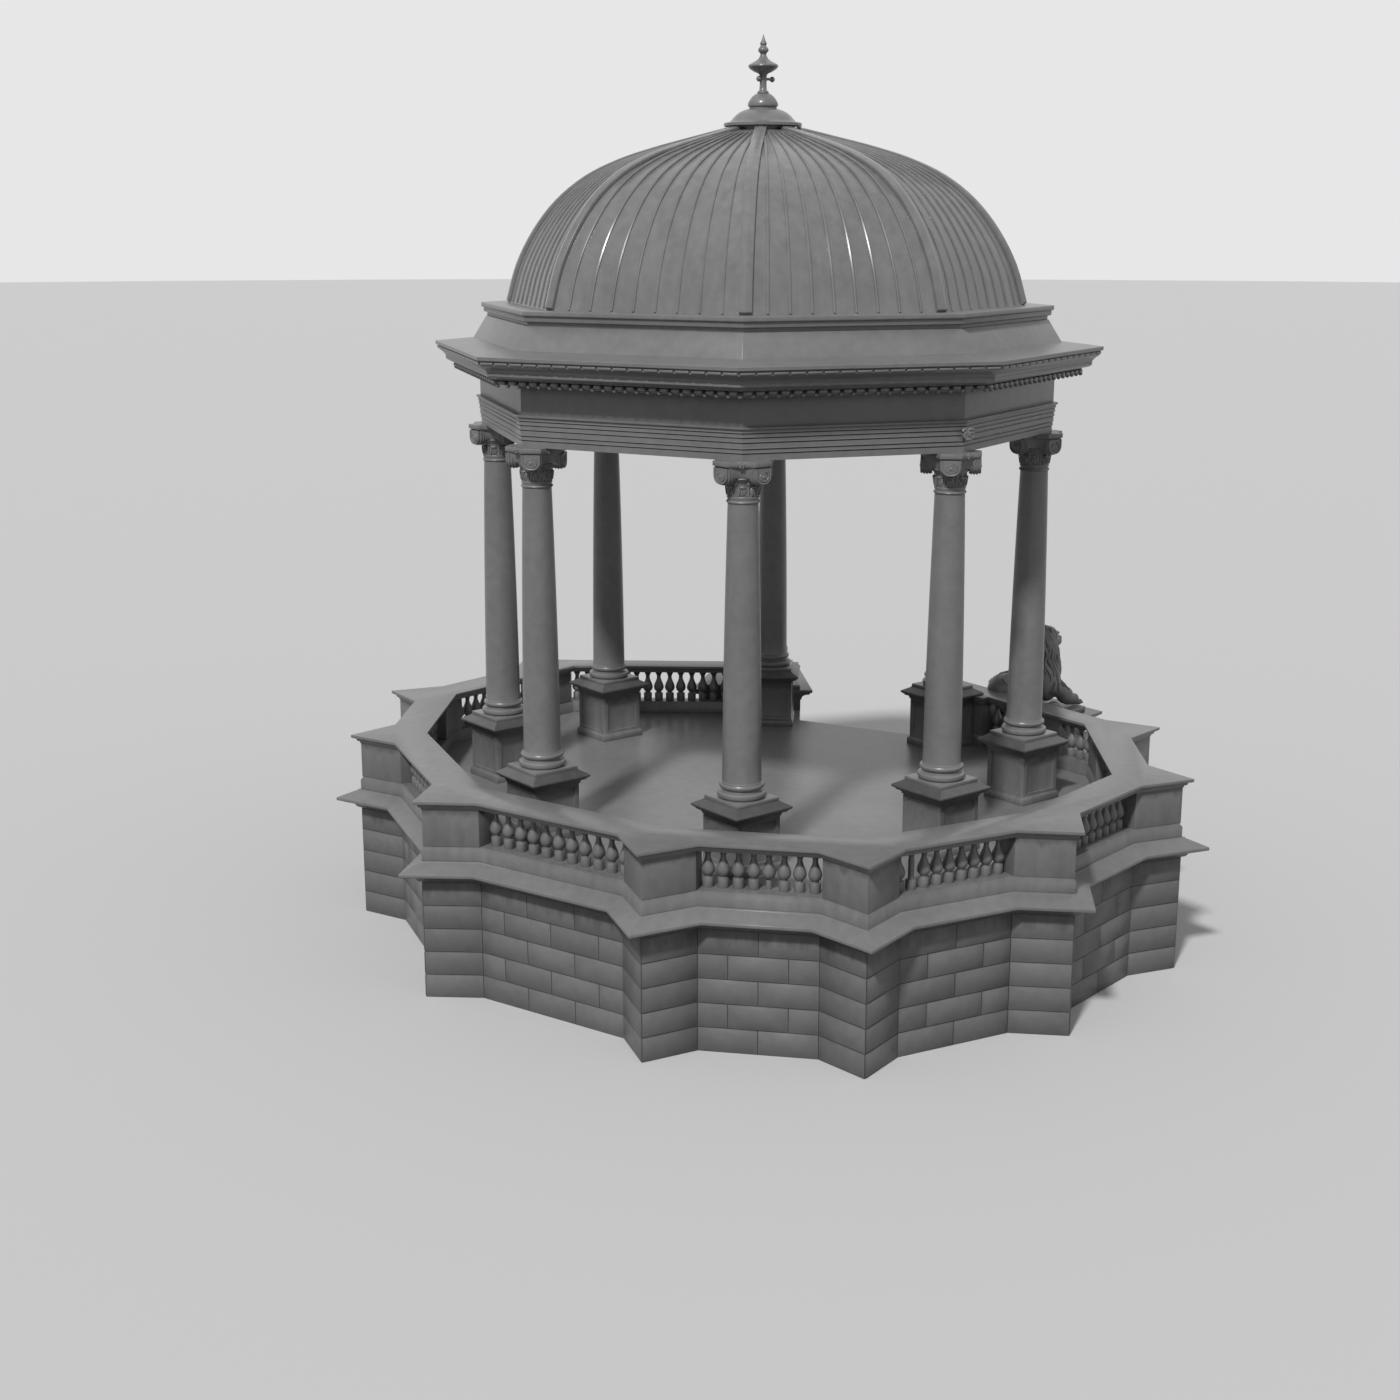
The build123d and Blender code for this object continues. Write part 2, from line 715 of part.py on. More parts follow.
dentil_face, dentil_bottom = cornice_corner(0.113, 0.132)
dentil_reach, dentil_top = cornice_corner(0.233, 0.295)
section = [(-beam_inner, frieze_top), cornice_corner(0.06, 0), cornice_corner(0.113, 0.042)]
section += [(dentil_face, dentil_top), cornice_corner(0.248, 0.295), cornice_corner(0.248, 0.348)]
section += curve(cornice_corner(0.248, 0.378), cornice_corner(0.474, 0.497), "out_first", 3)
section += [cornice_corner(0.474, 0.533), cornice_corner(0.699, 0.554), cornice_corner(0.699, 0.709)]
section += [cornice_corner(0.737, 0.726), cornice_corner(0.737, 0.758)]
section += curve(cornice_corner(0.744, 0.773), cornice_corner(0.895, 0.858), "up_first", 3)
section += curve(cornice_corner(0.895, 0.858), cornice_corner(0.97, 0.932), "out_first", 2)
section += [cornice_corner(1, 0.936), cornice_corner(1, 1)]
section += [(attic_foot_face + 20, attic_foot - 8), (attic_foot_face + 20, attic_foot)]
section.append((-beam_inner, attic_foot))
write(ringed(ring, section), "cornice")

dentils = []
block = Box(dentil_reach - dentil_face, dentil_width, dentil_top - dentil_bottom)
for number, start in enumerate(ring):
    finish = ring[(number + 1) % len(ring)]
    line = line_through(start, finish, -dentil_reach)
    line_before = line_through(ring[number - 1], start, -dentil_reach)
    line_after = line_through(finish, ring[(number + 2) % len(ring)], -dentil_reach)
    outer = [crossing(line_before, line), crossing(line, line_after)]
    length = math.dist(outer[0], outer[1])
    count = round((length - dentil_width) / dentil_pitch)
    (a, b), reach = line
    end_gap = dentil_width / 2 + 4
    for index in range(count + 1):
        share = (end_gap + (length - 2 * end_gap) * index / count) / length
        x = outer[0][0] + (outer[1][0] - outer[0][0]) * share - a * (dentil_reach - dentil_face) / 2
        y = outer[0][1] + (outer[1][1] - outer[0][1]) * share - b * (dentil_reach - dentil_face) / 2
        spot = Pos(x, y, (dentil_bottom + dentil_top) / 2) * Rot(0, 0, math.degrees(math.atan2(b, a)))
        dentils.append(spot * block)
write(Compound(children=dentils), "dentils")

attic_section = [(-roof_seat, attic_foot), (attic_foot_face, attic_foot), (attic_top_face, attic_top)]
attic_section += [(-roof_seat, attic_top)]
write(ringed(ring, attic_section), "attic")
under_face = attic_top_face - 15
ring_section = [(-roof_seat, attic_top), (under_face, attic_top)]
for reach, rise in ((0, 0.248), (0.611, 0.315), (0.611, 0.631), (0.867, 0.662), (1, 0.721), (1, 1)):
    face = under_face + reach * (attic_ring_face - under_face)
    ring_section.append((face, attic_top + rise * attic_ring_height))
ring_section.append((-roof_seat, attic_ring_top))
write(ringed(ring, ring_section), "attic_ring")

# Dome: an eight-sided shell whose corners follow one curve
dome_line = Spline([(share * dome_foot, rise * dome_rise) for share, rise in dome_curve])
outer_curve = []
inner_curve = []
for level in range(dome_levels):
    share = level / (dome_levels - 1)
    spot = dome_line @ share
    heading = dome_line % share
    outer_curve.append((spot.X, attic_ring_top + spot.Y))
    inner_radius = spot.X - dome_thickness * abs(heading.Y)
    inner_curve.append((inner_radius, attic_ring_top + spot.Y - dome_thickness * abs(heading.X)))
inner_curve[0] = (outer_curve[0][0] - dome_thickness, attic_ring_top)
inner_curve[-1] = (outer_curve[-1][0] - dome_thickness, outer_curve[-1][1])


def octagon(radius, height):
    return [(x * radius / column_radius, y * radius / column_radius, height) for x, y in ring]


dome_rings = [octagon(r, z) for r, z in outer_curve + inner_curve[::-1]]
write(skin(dome_rings, True), "dome")


def unit(first, second):
    length = math.dist(first, second)
    return ((second[0] - first[0]) / length, (second[1] - first[1]) / length)


def shifted(point, step):
    return tuple(point[axis] + step[axis] for axis in range(3))


# Broad ribs on the corners of the dome, and rolls on its facets
ribs = []
for number, corner in enumerate(ring):
    before = unit(corner, ring[number - 1])
    after = unit(corner, ring[(number + 1) % len(ring)])
    outward = unit((0, 0), corner)
    lift = (outward[0] * rib_height, outward[1] * rib_height, rib_height)
    levels = []
    for r, z in outer_curve:
        share = r / column_radius
        middle = (corner[0] * share, corner[1] * share, z)
        left = shifted(middle, (before[0] * rib_width / 2, before[1] * rib_width / 2, 0))
        right = shifted(middle, (after[0] * rib_width / 2, after[1] * rib_width / 2, 0))
        raised = [shifted(point, lift) for point in (right, middle, left)]
        levels.append([left, middle, right] + raised)
    ribs.append(skin(levels, False, [(0, 1, 4, 5), (1, 2, 3, 4)]))
write(Compound(children=ribs), "dome_ribs")

seams = []
for number, corner in enumerate(ring):
    next_corner = ring[(number + 1) % len(ring)]
    along = unit(corner, next_corner)
    lift = (along[1] * seam_height, -along[0] * seam_height, seam_height)
    for seam in range(seams_in_facet):
        place = (seam + 1) / (seams_in_facet + 1)
        levels = []
        for r, z in outer_curve[:-2]:
            share = r / column_radius
            x = (corner[0] + (next_corner[0] - corner[0]) * place) * share
            y = (corner[1] + (next_corner[1] - corner[1]) * place) * share
            left = (x - along[0] * seam_width / 2, y - along[1] * seam_width / 2, z)
            right = (x + along[0] * seam_width / 2, y + along[1] * seam_width / 2, z)
            levels.append([left, right, shifted((x, y, z), lift)])
        seams.append(skin(levels, False))
write(Compound(children=seams), "dome_seams")

# Collar with its two bells, on a short throat, and the finial with its side arms
throat = Pos(0, 0, dome_top + collar_gap / 2) * Cylinder(0.74 * collar_radius, collar_gap)
collar_profile = [(1, 0), (1, 0.108), (0.836, 0.146), (0.68, 0.395, 0.37, 0.542), (0.344, 0.592)]
collar_profile += [(0.39, 0.665), (0.316, 0.868, 0.193, 1), (0, 1)]
write(throat + turned(collar_profile, collar_radius, collar_bottom, collar_height), "collar")

finial_profile = [(0.346, 0), (0.391, 0.024, 0.346, 0.048), (0.239, 0.069), (0.239, 0.333)]
finial_profile += [(0.72, 0.383, 1, 0.473), (0.658, 0.548, 0.255, 0.63), (0.185, 0.663)]
finial_profile += [(0.358, 0.74, 0.173, 0.812), (0.239, 0.85, 0.156, 0.889), (0.025, 1), (0, 1)]
finial = turned(finial_profile, bulb_radius, collar_top, finial_height)
arm_level = collar_top + 0.254 * finial_height
arm_reach = 0.78 * bulb_radius
knob = 0.19 * bulb_radius
arm = Pos(arm_reach / 2, 0, arm_level) * Rot(0, 90, 0) * Cylinder(knob / 2, arm_reach)
finial = finial + arm + Pos(arm_reach, 0, arm_level) * Sphere(knob)
finial = finial + Pos(-0.36 * bulb_radius, 0, arm_level) * Sphere(knob)
write(finial, "finial")
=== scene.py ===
import math
import random
import bpy
import bmesh
from mathutils import Matrix, Vector
from mathutils.bvhtree import BVHTree


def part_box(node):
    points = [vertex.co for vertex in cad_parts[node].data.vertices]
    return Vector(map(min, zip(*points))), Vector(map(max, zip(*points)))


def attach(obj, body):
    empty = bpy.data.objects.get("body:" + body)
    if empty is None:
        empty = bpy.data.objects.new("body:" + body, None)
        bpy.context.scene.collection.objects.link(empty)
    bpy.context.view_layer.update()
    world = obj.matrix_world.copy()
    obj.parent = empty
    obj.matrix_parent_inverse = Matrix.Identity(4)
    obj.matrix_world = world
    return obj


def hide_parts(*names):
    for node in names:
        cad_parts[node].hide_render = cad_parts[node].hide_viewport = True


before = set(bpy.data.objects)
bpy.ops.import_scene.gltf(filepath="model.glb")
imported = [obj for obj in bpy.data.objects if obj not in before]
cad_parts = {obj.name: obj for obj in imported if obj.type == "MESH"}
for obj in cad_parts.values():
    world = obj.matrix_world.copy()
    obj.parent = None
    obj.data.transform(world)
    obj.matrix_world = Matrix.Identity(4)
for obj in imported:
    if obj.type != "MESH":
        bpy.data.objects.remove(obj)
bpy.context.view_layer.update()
scene = bpy.context.scene
scene.view_settings.view_transform = "Standard"
print("frame loaded")


# Materials

stoneLook = {
    "colour": (0.19, 0.19, 0.19),
    "pale": 1.11,        # lightest cloud of the stone against its colour
    "dark": 0.88,        # darkest cloud
    "roughness": 0.38,
    "paintedShadeFactor": 0.55,       # share of the colour left in the painted shade beneath a ledge
    "grain": 26,         # fineness of the pitting
    "bumpHeight": 0.003,
}


def noise(nodes, links, place, scale, detail):
    texture = nodes.new("ShaderNodeTexNoise")
    texture.inputs["Scale"].default_value = scale
    texture.inputs["Detail"].default_value = detail
    links.new(place, texture.inputs["Vector"])
    return texture.outputs["Fac"]


def mapped(nodes, links, value, fromMin, fromMax, toMin, toMax):
    node = nodes.new("ShaderNodeMapRange")
    for name, number in (("From Min", fromMin), ("From Max", fromMax), ("To Min", toMin), ("To Max", toMax)):
        node.inputs[name].default_value = number
    links.new(value, node.inputs["Value"])
    return node.outputs["Result"]


def combined(nodes, links, operation, first, second):
    node = nodes.new("ShaderNodeMath")
    node.operation = operation
    links.new(first, node.inputs[0])
    links.new(second, node.inputs[1])
    return node.outputs[0]


def stoneMaterial(name, changes, paintedShadeTop=None, paintedShadeDepth=0.4, streaks=0.0, perBlock=False):
    look = dict(stoneLook, **changes)
    material = bpy.data.materials.new(name)
    material.use_nodes = True
    nodes, links = material.node_tree.nodes, material.node_tree.links
    shader = nodes["Principled BSDF"]
    shader.inputs["Roughness"].default_value = look["roughness"]
    place = nodes.new("ShaderNodeTexCoord").outputs["Object"]
    clouds = noise(nodes, links, place, 0.7, 6)
    mottle = noise(nodes, links, place, 6, 5)
    both = combined(nodes, links, "ADD", clouds, mottle)
    value = mapped(nodes, links, both, 0.7, 1.3, look["dark"], look["pale"])
    # upright runs: streaks of dirt, and the ragged edge of the painted shade
    uprightStretch = nodes.new("ShaderNodeMapping")
    uprightStretch.inputs["Scale"].default_value = (5, 5, 0.7)
    links.new(place, uprightStretch.inputs["Vector"])
    run = noise(nodes, links, uprightStretch.outputs["Vector"], 1.2, 4)
    if paintedShadeTop is not None:
        # painted shade that hangs down from a level, beneath the ledge or the coping, with a ragged lower
        # edge
        parts = nodes.new("ShaderNodeSeparateXYZ")
        links.new(place, parts.inputs["Vector"])
        height = mapped(nodes, links, parts.outputs["Z"], paintedShadeTop - paintedShadeDepth, paintedShadeTop, 0, 1)
        spread = combined(nodes, links, "ADD", height, run)
        paintedShadeFactor = mapped(nodes, links, spread, 1, 1.3, 1, look["paintedShadeFactor"])
        value = combined(nodes, links, "MULTIPLY", value, paintedShadeFactor)
    if streaks:
        wash = mapped(nodes, links, run, 0.35, 0.65, 1 - streaks, 1 + streaks)
        value = combined(nodes, links, "MULTIPLY", value, wash)
    if perBlock:
        # each block has its own tone, kept on its faces
        tone = nodes.new("ShaderNodeAttribute")
        tone.attribute_name = "blockTone"
        value = combined(nodes, links, "MULTIPLY", value, tone.outputs["Fac"])
    tint = nodes.new("ShaderNodeVectorMath")
    tint.operation = "SCALE"
    tint.inputs[0].default_value = look["colour"]
    links.new(value, tint.inputs["Scale"])
    links.new(tint.outputs["Vector"], shader.inputs["Base Color"])
    bump = nodes.new("ShaderNodeBump")
    bump.inputs["Distance"].default_value = look["bumpHeight"]
    bump.inputs["Strength"].default_value = 0.5
    links.new(noise(nodes, links, place, look["grain"], 4), bump.inputs["Height"])
    links.new(bump.outputs["Normal"], shader.inputs["Normal"])
    return material


# painted shade darkens the top of the wall beneath the ledge
wallStone = stoneMaterial("wallStone", {"colour": (0.155, 0.155, 0.155), "roughness": 0.45}, paintedShadeTop=1.98,
                          paintedShadeDepth=0.6, perBlock=True)
# dark joints between the wall blocks; the architrave also uses this as painted shade in its grooves
jointAndShadeStone = stoneMaterial("jointAndShadeStone", {"colour": (0.03, 0.03, 0.03), "roughness": 0.8})
ledgeStone = stoneMaterial("ledgeStone", {"roughness": 0.32})
# painted shade darkens the rail, piers and balusters beneath the coping
railStone = stoneMaterial("railStone", {"colour": (0.17, 0.17, 0.17), "roughness": 0.36}, paintedShadeTop=3.1,
                          paintedShadeDepth=0.3, streaks=0.08)
floorStone = stoneMaterial("floorStone", {"colour": (0.21, 0.21, 0.21), "roughness": 0.34})
columnStone = stoneMaterial("columnStone", {"roughness": 0.32, "grain": 14, "bumpHeight": 0.002})
carvedStone = stoneMaterial("carvedStone", {"roughness": 0.38})
beamStone = stoneMaterial("beamStone", {"roughness": 0.34})
domeCover = stoneMaterial("domeCover", {"roughness": 0.26, "grain": 9, "bumpHeight": 0.002}, streaks=0.07)
print("materials made")


# Helpers for meshes

def showPiece(name, bm, material, replaced=(), smoothAngle=32):
    mesh = bpy.data.meshes.new(name)
    bm.to_mesh(mesh)
    bm.free()
    mesh.materials.append(material)
    mesh.shade_smooth()
    mesh.set_sharp_from_angle(angle=math.radians(smoothAngle))
    piece = bpy.data.objects.new(name, mesh)
    scene.collection.objects.link(piece)
    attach(piece, "root")
    if replaced:
        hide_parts(*replaced)
    return piece


def cadCopy(node):
    bm = bmesh.new()
    bm.from_mesh(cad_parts[node].data)
    bmesh.ops.remove_doubles(bm, verts=bm.verts, dist=0.0003)
    bmesh.ops.dissolve_limit(bm, angle_limit=math.radians(0.6), verts=bm.verts, edges=bm.edges)
    return bm


def easeArrises(bm, width, fromAngle=40, segments=2):
    edges = []
    for edge in bm.edges:
        if edge.is_manifold and edge.calc_face_angle(0) > math.radians(fromAngle):
            edges.append(edge)
    bmesh.ops.bevel(bm, geom=edges, offset=width, offset_type="OFFSET", segments=segments,
                    profile=0.5, affect="EDGES", clamp_overlap=True, material=-1)


def dressedNode(node, pieceName, material, width):
    bm = cadCopy(node)
    easeArrises(bm, width)
    return showPiece(pieceName, bm, material, [node])


def islands(node):
    # the corner points of each separate solid of a node
    bm = bmesh.new()
    bm.from_mesh(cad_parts[node].data)
    bmesh.ops.remove_doubles(bm, verts=bm.verts, dist=0.0003)
    seen = set()
    groups = []
    for start in bm.verts:
        if start in seen:
            continue
        seen.add(start)
        group = [start]
        for vert in group:
            for edge in vert.link_edges:
                other = edge.other_vert(vert)
                if other not in seen:
                    seen.add(other)
                    group.append(other)
        groups.append([vert.co.copy() for vert in group])
    bm.free()
    return groups


def middleOf(points):
    lowest = Vector([min(point[axis] for point in points) for axis in range(3)])
    highest = Vector([max(point[axis] for point in points) for axis in range(3)])
    return (lowest + highest) / 2


def easedBlock(width, depth, height, ease, segments=1):
    bm = bmesh.new()
    bmesh.ops.create_cube(bm, size=1, matrix=Matrix.Diagonal((width, depth, height, 1)))
    easeArrises(bm, ease, segments=segments)
    return asMesh(bm, "easedBlock")


def turned(profile, steps):
    # a closed turned shape about Z from (radius, height) pairs
    bm = bmesh.new()
    verts = [bm.verts.new((radius, 0, height)) for radius, height in profile]
    edges = [bm.edges.new(pair) for pair in zip(verts, verts[1:])]
    bmesh.ops.spin(bm, geom=verts + edges, cent=(0, 0, 0), axis=(0, 0, 1), angle=2 * math.pi,
                   steps=steps, use_merge=True)
    bmesh.ops.remove_doubles(bm, verts=bm.verts, dist=0.00005)
    bmesh.ops.recalc_face_normals(bm, faces=bm.faces)
    return bm


def asMesh(bm, name):
    mesh = bpy.data.meshes.new(name)
    bm.to_mesh(mesh)
    bm.free()
    return mesh


def stamp(bm, mesh, matrix):
    # adds a copy of a mesh in its place
    copy = mesh.copy()
    copy.transform(matrix)
    bm.from_mesh(copy)
    bpy.data.meshes.remove(copy)


def blob(bm, centre, size, turn=None, segments=12, rings=8):
    # a stretched sphere, turned by a matrix
    matrix = Matrix.Translation(centre) @ (turn or Matrix.Identity(4)) @ Matrix.Diagonal((*size, 1))
    bmesh.ops.create_uvsphere(bm, u_segments=segments, v_segments=rings, radius=1, matrix=matrix)


def sweep(bm, path, radii, sides):
    # a round bar along a path, closed at both ends
    path = [Vector(point) for point in path]
    headings = []
    for index in range(len(path)):
        after = path[min(index + 1, len(path) - 1)]
        before = path[max(index - 1, 0)]
        headings.append((after - before).normalized())
    frameTurn = headings[0].to_track_quat("Z", "Y").to_matrix().to_4x4()
    matrix = Matrix.Translation(path[0]) @ frameTurn
    made = bmesh.ops.create_circle(bm, cap_ends=False, segments=sides, radius=radii[0], matrix=matrix)
    ring = made["verts"]
    edges = list({edge for vert in ring for edge in vert.link_edges})
    ends = [edges]
    for index in range(1, len(path)):
        grown = bmesh.ops.extrude_edge_only(bm, edges=edges)["geom"]
        ring = [item for item in grown if isinstance(item, bmesh.types.BMVert)]
        inRing = set(ring)
        edges = [item for item in grown if isinstance(item, bmesh.types.BMEdge)
                 and item.verts[0] in inRing and item.verts[1] in inRing]
        bmesh.ops.translate(bm, verts=ring, vec=path[index] - path[index - 1])
        turn = headings[index - 1].rotation_difference(headings[index]).to_matrix()
        bmesh.ops.rotate(bm, verts=ring, cent=path[index], matrix=turn)
        share = radii[index] / radii[index - 1]
        bmesh.ops.scale(bm, verts=ring, vec=(share, share, share), space=Matrix.Translation(-path[index]))
    ends.append(edges)
    for end in ends:
        bmesh.ops.holes_fill(bm, edges=end, sides=sides)


# Terrace wall in ashlar

ashlar = {
    "courses": 5,
    "blockLength": 1.05,
    "jointHalf": 0.006,      # dark joint
    "arrisWidth": 0.016,     # sloped edge of each block
    "blockRise": 0.016,
    "toneSpread": 0.09,
    "shortestBlock": 0.1,
    "seed": 4,
}


def outerWalls(bm):
    faces = []
    for face in bm.faces:
        middle = face.calc_center_median()
        if abs(face.normal.z) < 0.1 and face.normal.dot(Vector((middle.x, middle.y, 0))) > 0:
            faces.append(face)
    return faces


def ashlarWall():
    bm = cadCopy("terrace_wall")
    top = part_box("terrace_wall")[1].z
    course = top / ashlar["courses"]
    for number in range(1, ashlar["courses"]):
        everything = bm.verts[:] + bm.edges[:] + bm.faces[:]
        bmesh.ops.bisect_plane(bm, geom=everything, plane_co=(0, 0, number * course), plane_no=(0, 0, 1))
    for face in outerWalls(bm):
        row = int(face.calc_center_median().z / course)
        along = face.normal.cross(Vector((0, 0, 1))).normalized()
        reaches = [vert.co.dot(along) for vert in face.verts]
        low, high = min(reaches), max(reaches)
        blocks = max(1, round((high - low) / ashlar["blockLength"]))
        if blocks == 1:
            continue
        step = (high - low) / blocks
        shift = 0.5 if row % 2 else 0
        parts = [face]
        for number in range(blocks):
            mark = low + (number + shift) * step
            if mark - low < ashlar["shortestBlock"]:
                continue
            geom = set(parts)
            for part in parts:
                geom.update(part.verts)
                geom.update(part.edges)
            cut = bmesh.ops.bisect_plane(bm, geom=list(geom), plane_co=along * mark, plane_no=along)
            parts = [item for item in cut["geom"] if isinstance(item, bmesh.types.BMFace)]
    toneLayer = bm.faces.layers.float.new("blockTone")
    for face in bm.faces:
        face[toneLayer] = 1
    blocks = outerWalls(bm)
    joints = bmesh.ops.inset_individual(bm, faces=blocks, thickness=ashlar["jointHalf"], use_even_offset=True)
    for face in joints["faces"]:
        face.material_index = 1
    drawn = random.Random(ashlar["seed"])
    for face in blocks:
        face[toneLayer] = 1 + drawn.uniform(-1, 1) * ashlar["toneSpread"]
    bmesh.ops.inset_individual(bm, faces=blocks, thickness=ashlar["arrisWidth"], depth=ashlar["blockRise"],
                               use_even_offset=True)
    wall = showPiece("ashlar_wall", bm, wallStone, ["terrace_wall"], 20)
    wall.data.materials.append(jointAndShadeStone)


ashlarWall()
print("terrace wall dressed")


# Mouldings, piers, treads, frieze and attic keep their CAD shape, with eased arrises

# node, piece, its stone, and the width of the eased arris
dressedNode("ledge", "ledge_moulded", ledgeStone, 0.006)
dressedNode("plinth_course", "rail_moulded", railStone, 0.006)
dressedNode("coping", "coping_moulded", ledgeStone, 0.008)
dressedNode("corner_piers", "piers_dressed", railStone, 0.01)
dressedNode("lion_pier_right", "lion_pier_right_dressed", ledgeStone, 0.007)
dressedNode("lion_pier_left", "lion_pier_left_dressed", ledgeStone, 0.007)
dressedNode("pedestals", "pedestals_dressed", railStone, 0.006)
dressedNode("step_treads", "treads_dressed", floorStone, 0.01)
dressedNode("frieze", "frieze_dressed", beamStone, 0.004)
dressedNode("attic", "attic_dressed", beamStone, 0.006)
dressedNode("attic_ring", "attic_ring_moulded", beamStone, 0.005)
for node in ("terrace_core", "floor", "entrance_steps"):
    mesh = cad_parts[node].data
    mesh.materials.clear()
    mesh.materials.append(floorStone)
print("mouldings dressed")


# Balusters

balusterLook = {
    "steps": 18,
    "foot": 2.47,
    "profile": [(0, 0), (0.078, 0), (0.082, 0.012), (0.082, 0.135), (0.074, 0.15), (0.05, 0.158),
                (0.047, 0.167), (0.062, 0.182), (0.089, 0.215), (0.1, 0.255), (0.098, 0.29),
                (0.083, 0.34), (0.062, 0.385), (0.045, 0.43), (0.038, 0.465), (0.04, 0.495),
                (0.05, 0.525), (0.064, 0.545), (0.068, 0.556), (0.062, 0.562), (0.068, 0.568),
                (0.07, 0.585), (0.07, 0.6), (0, 0.6)],
    "thinFoot": ("balusters_bay_5", 4),     # row and place of the one weathered at its foot
    "thinTo": 0.17,
    "thinShare": 0.55,
    "brokenStem": ("balusters_bay_6", 1),   # the one that has lost its belly
    "stemFrom": 0.18,
    "stemTo": 0.5,
    "stemRadius": 0.045,
}


def balusterMesh(kind):
    look = balusterLook
    profile = []
    for radius, height in look["profile"]:
        if kind == "thinFoot" and 0 < height < look["thinTo"]:
            radius *= look["thinShare"]
        if kind == "brokenStem" and look["stemFrom"] < height < look["stemTo"]:
            radius = min(radius, look["stemRadius"])
        profile.append((radius, height))
    return asMesh(turned(profile, look["steps"]), "baluster_" + kind)


balusterKinds = {kind: balusterMesh(kind) for kind in ("whole", "thinFoot", "brokenStem")}
rowNames = ["balusters_bay_%d" % number for number in range(1, 9)]
rowNames += ["balusters_wing_right", "balusters_wing_left"]
for rowName in rowNames:
    bm = bmesh.new()
    places = sorted([middleOf(points) for points in islands(rowName)], key=lambda place: place.x)
    for number, place in enumerate(places):
        kind = "whole"
        for damaged in ("thinFoot", "brokenStem"):
            if balusterLook[damaged] == (rowName, number):
                kind = damaged
        stamp(bm, balusterKinds[kind], Matrix.Translation((place.x, place.y, balusterLook["foot"])))
    showPiece("turned_" + rowName, bm, railStone, [rowName], 40)
print("balusters turned")


# Columns

columnLook = {
    "steps": 56,
    "plinthHalf": 0.404,
    "plinthFoot": 3.34,
    "plinthTop": 3.396,
    "plinthEase": 0.008,
    "profile": [(0, 3.396), (0.318, 3.396), (0.35, 3.402), (0.371, 3.423), (0.378, 3.451), (0.371, 3.479),
                (0.35, 3.5), (0.318, 3.506), (0.312, 3.509), (0.312, 3.514), (0.302, 3.522),
                (0.298, 3.532), (0.302, 3.541), (0.312, 3.546), (0.327, 3.55), (0.34, 3.566),
                (0.344, 3.586), (0.34, 3.606), (0.327, 3.622), (0.312, 3.626), (0.312, 3.636),
                (0.303, 3.644), (0.299, 3.66)],
    "shaftFoot": 3.66,
    "shaftTop": 7.85,
    "footRadius": 0.298,
    "neckRadius": 0.228,
    "straightTaper": 0.35,     # the rest of the taper grows with the height
}


def columnMesh():
    look = columnLook
    profile = list(look["profile"])
    span = look["shaftTop"] - look["shaftFoot"]
    taper = look["footRadius"] - look["neckRadius"]
    for step in range(1, 17):
        share = step / 16
        drawnIn = look["straightTaper"] * share + (1 - look["straightTaper"]) * share * share
        profile.append((look["footRadius"] - taper * drawnIn, look["shaftFoot"] + share * span))
    profile.append((0, look["shaftTop"]))
    bm = turned(profile, look["steps"])
    half, foot, top = look["plinthHalf"], look["plinthFoot"], look["plinthTop"]
    matrix = Matrix.Translation((0, 0, (foot + top) / 2))
    matrix = matrix @ Matrix.Diagonal((2 * half, 2 * half, top - foot, 1))
    plinth = bmesh.new()
    bmesh.ops.create_cube(plinth, size=1, matrix=matrix)
    easeArrises(plinth, look["plinthEase"])
    stamp(bm, asMesh(plinth, "columnPlinth"), Matrix.Identity(4))
    return asMesh(bm, "columnShape")


columnShape = columnMesh()
columnPlaces = []
for number in range(1, 9):
    node = "column_%d" % number
    low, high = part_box(node)
    middle = (low + high) / 2
    columnPlaces.append(Vector((middle.x, middle.y, 0)))
    turn = math.atan2(middle.y, middle.x) if number == 2 else 0
    bm = bmesh.new()
    stamp(bm, columnShape, Matrix.Translation((middle.x, middle.y, 0)) @ Matrix.Rotation(turn, 4, "Z"))
    showPiece("turned_" + node, bm, columnStone, [node], 30)
print("columns turned")


# Capitals

capitalLook = {
    "profile": [(0, 7.85), (0.227, 7.85), (0.243, 7.857), (0.25, 7.873), (0.243, 7.889), (0.229, 7.896),
                (0.23, 7.91), (0.238, 7.928), (0.242, 7.942), (0.236, 7.956), (0.226, 7.962),
                (0.224, 8.05), (0.232, 8.13), (0.252, 8.17), (0.29, 8.205), (0.3, 8.22), (0.29, 8.235),
                (0.25, 8.24), (0, 8.24)],
    "leaves": 8,
    "blockFoot": 8.235,
    "abacusFoot": 8.385,
    "abacusTop": 8.48,
    "abacusHalf": 0.436,
    "abacusHollow": 0.06,
    "voluteReach": 0.462,      # out along the diagonal
    "voluteHalf": 0.162,
    "voluteFoot": 8.136,
    "voluteDepth": 0.17,
    "voluteEase": 0.045,
    # distance back from the front, thickness and inset of each rim
    "rims": [(0.026, 0.019, 0.03), (0.068, 0.015, 0.012), (0.112, 0.015, 0.01), (0.155, 0.013, 0.012)],
}


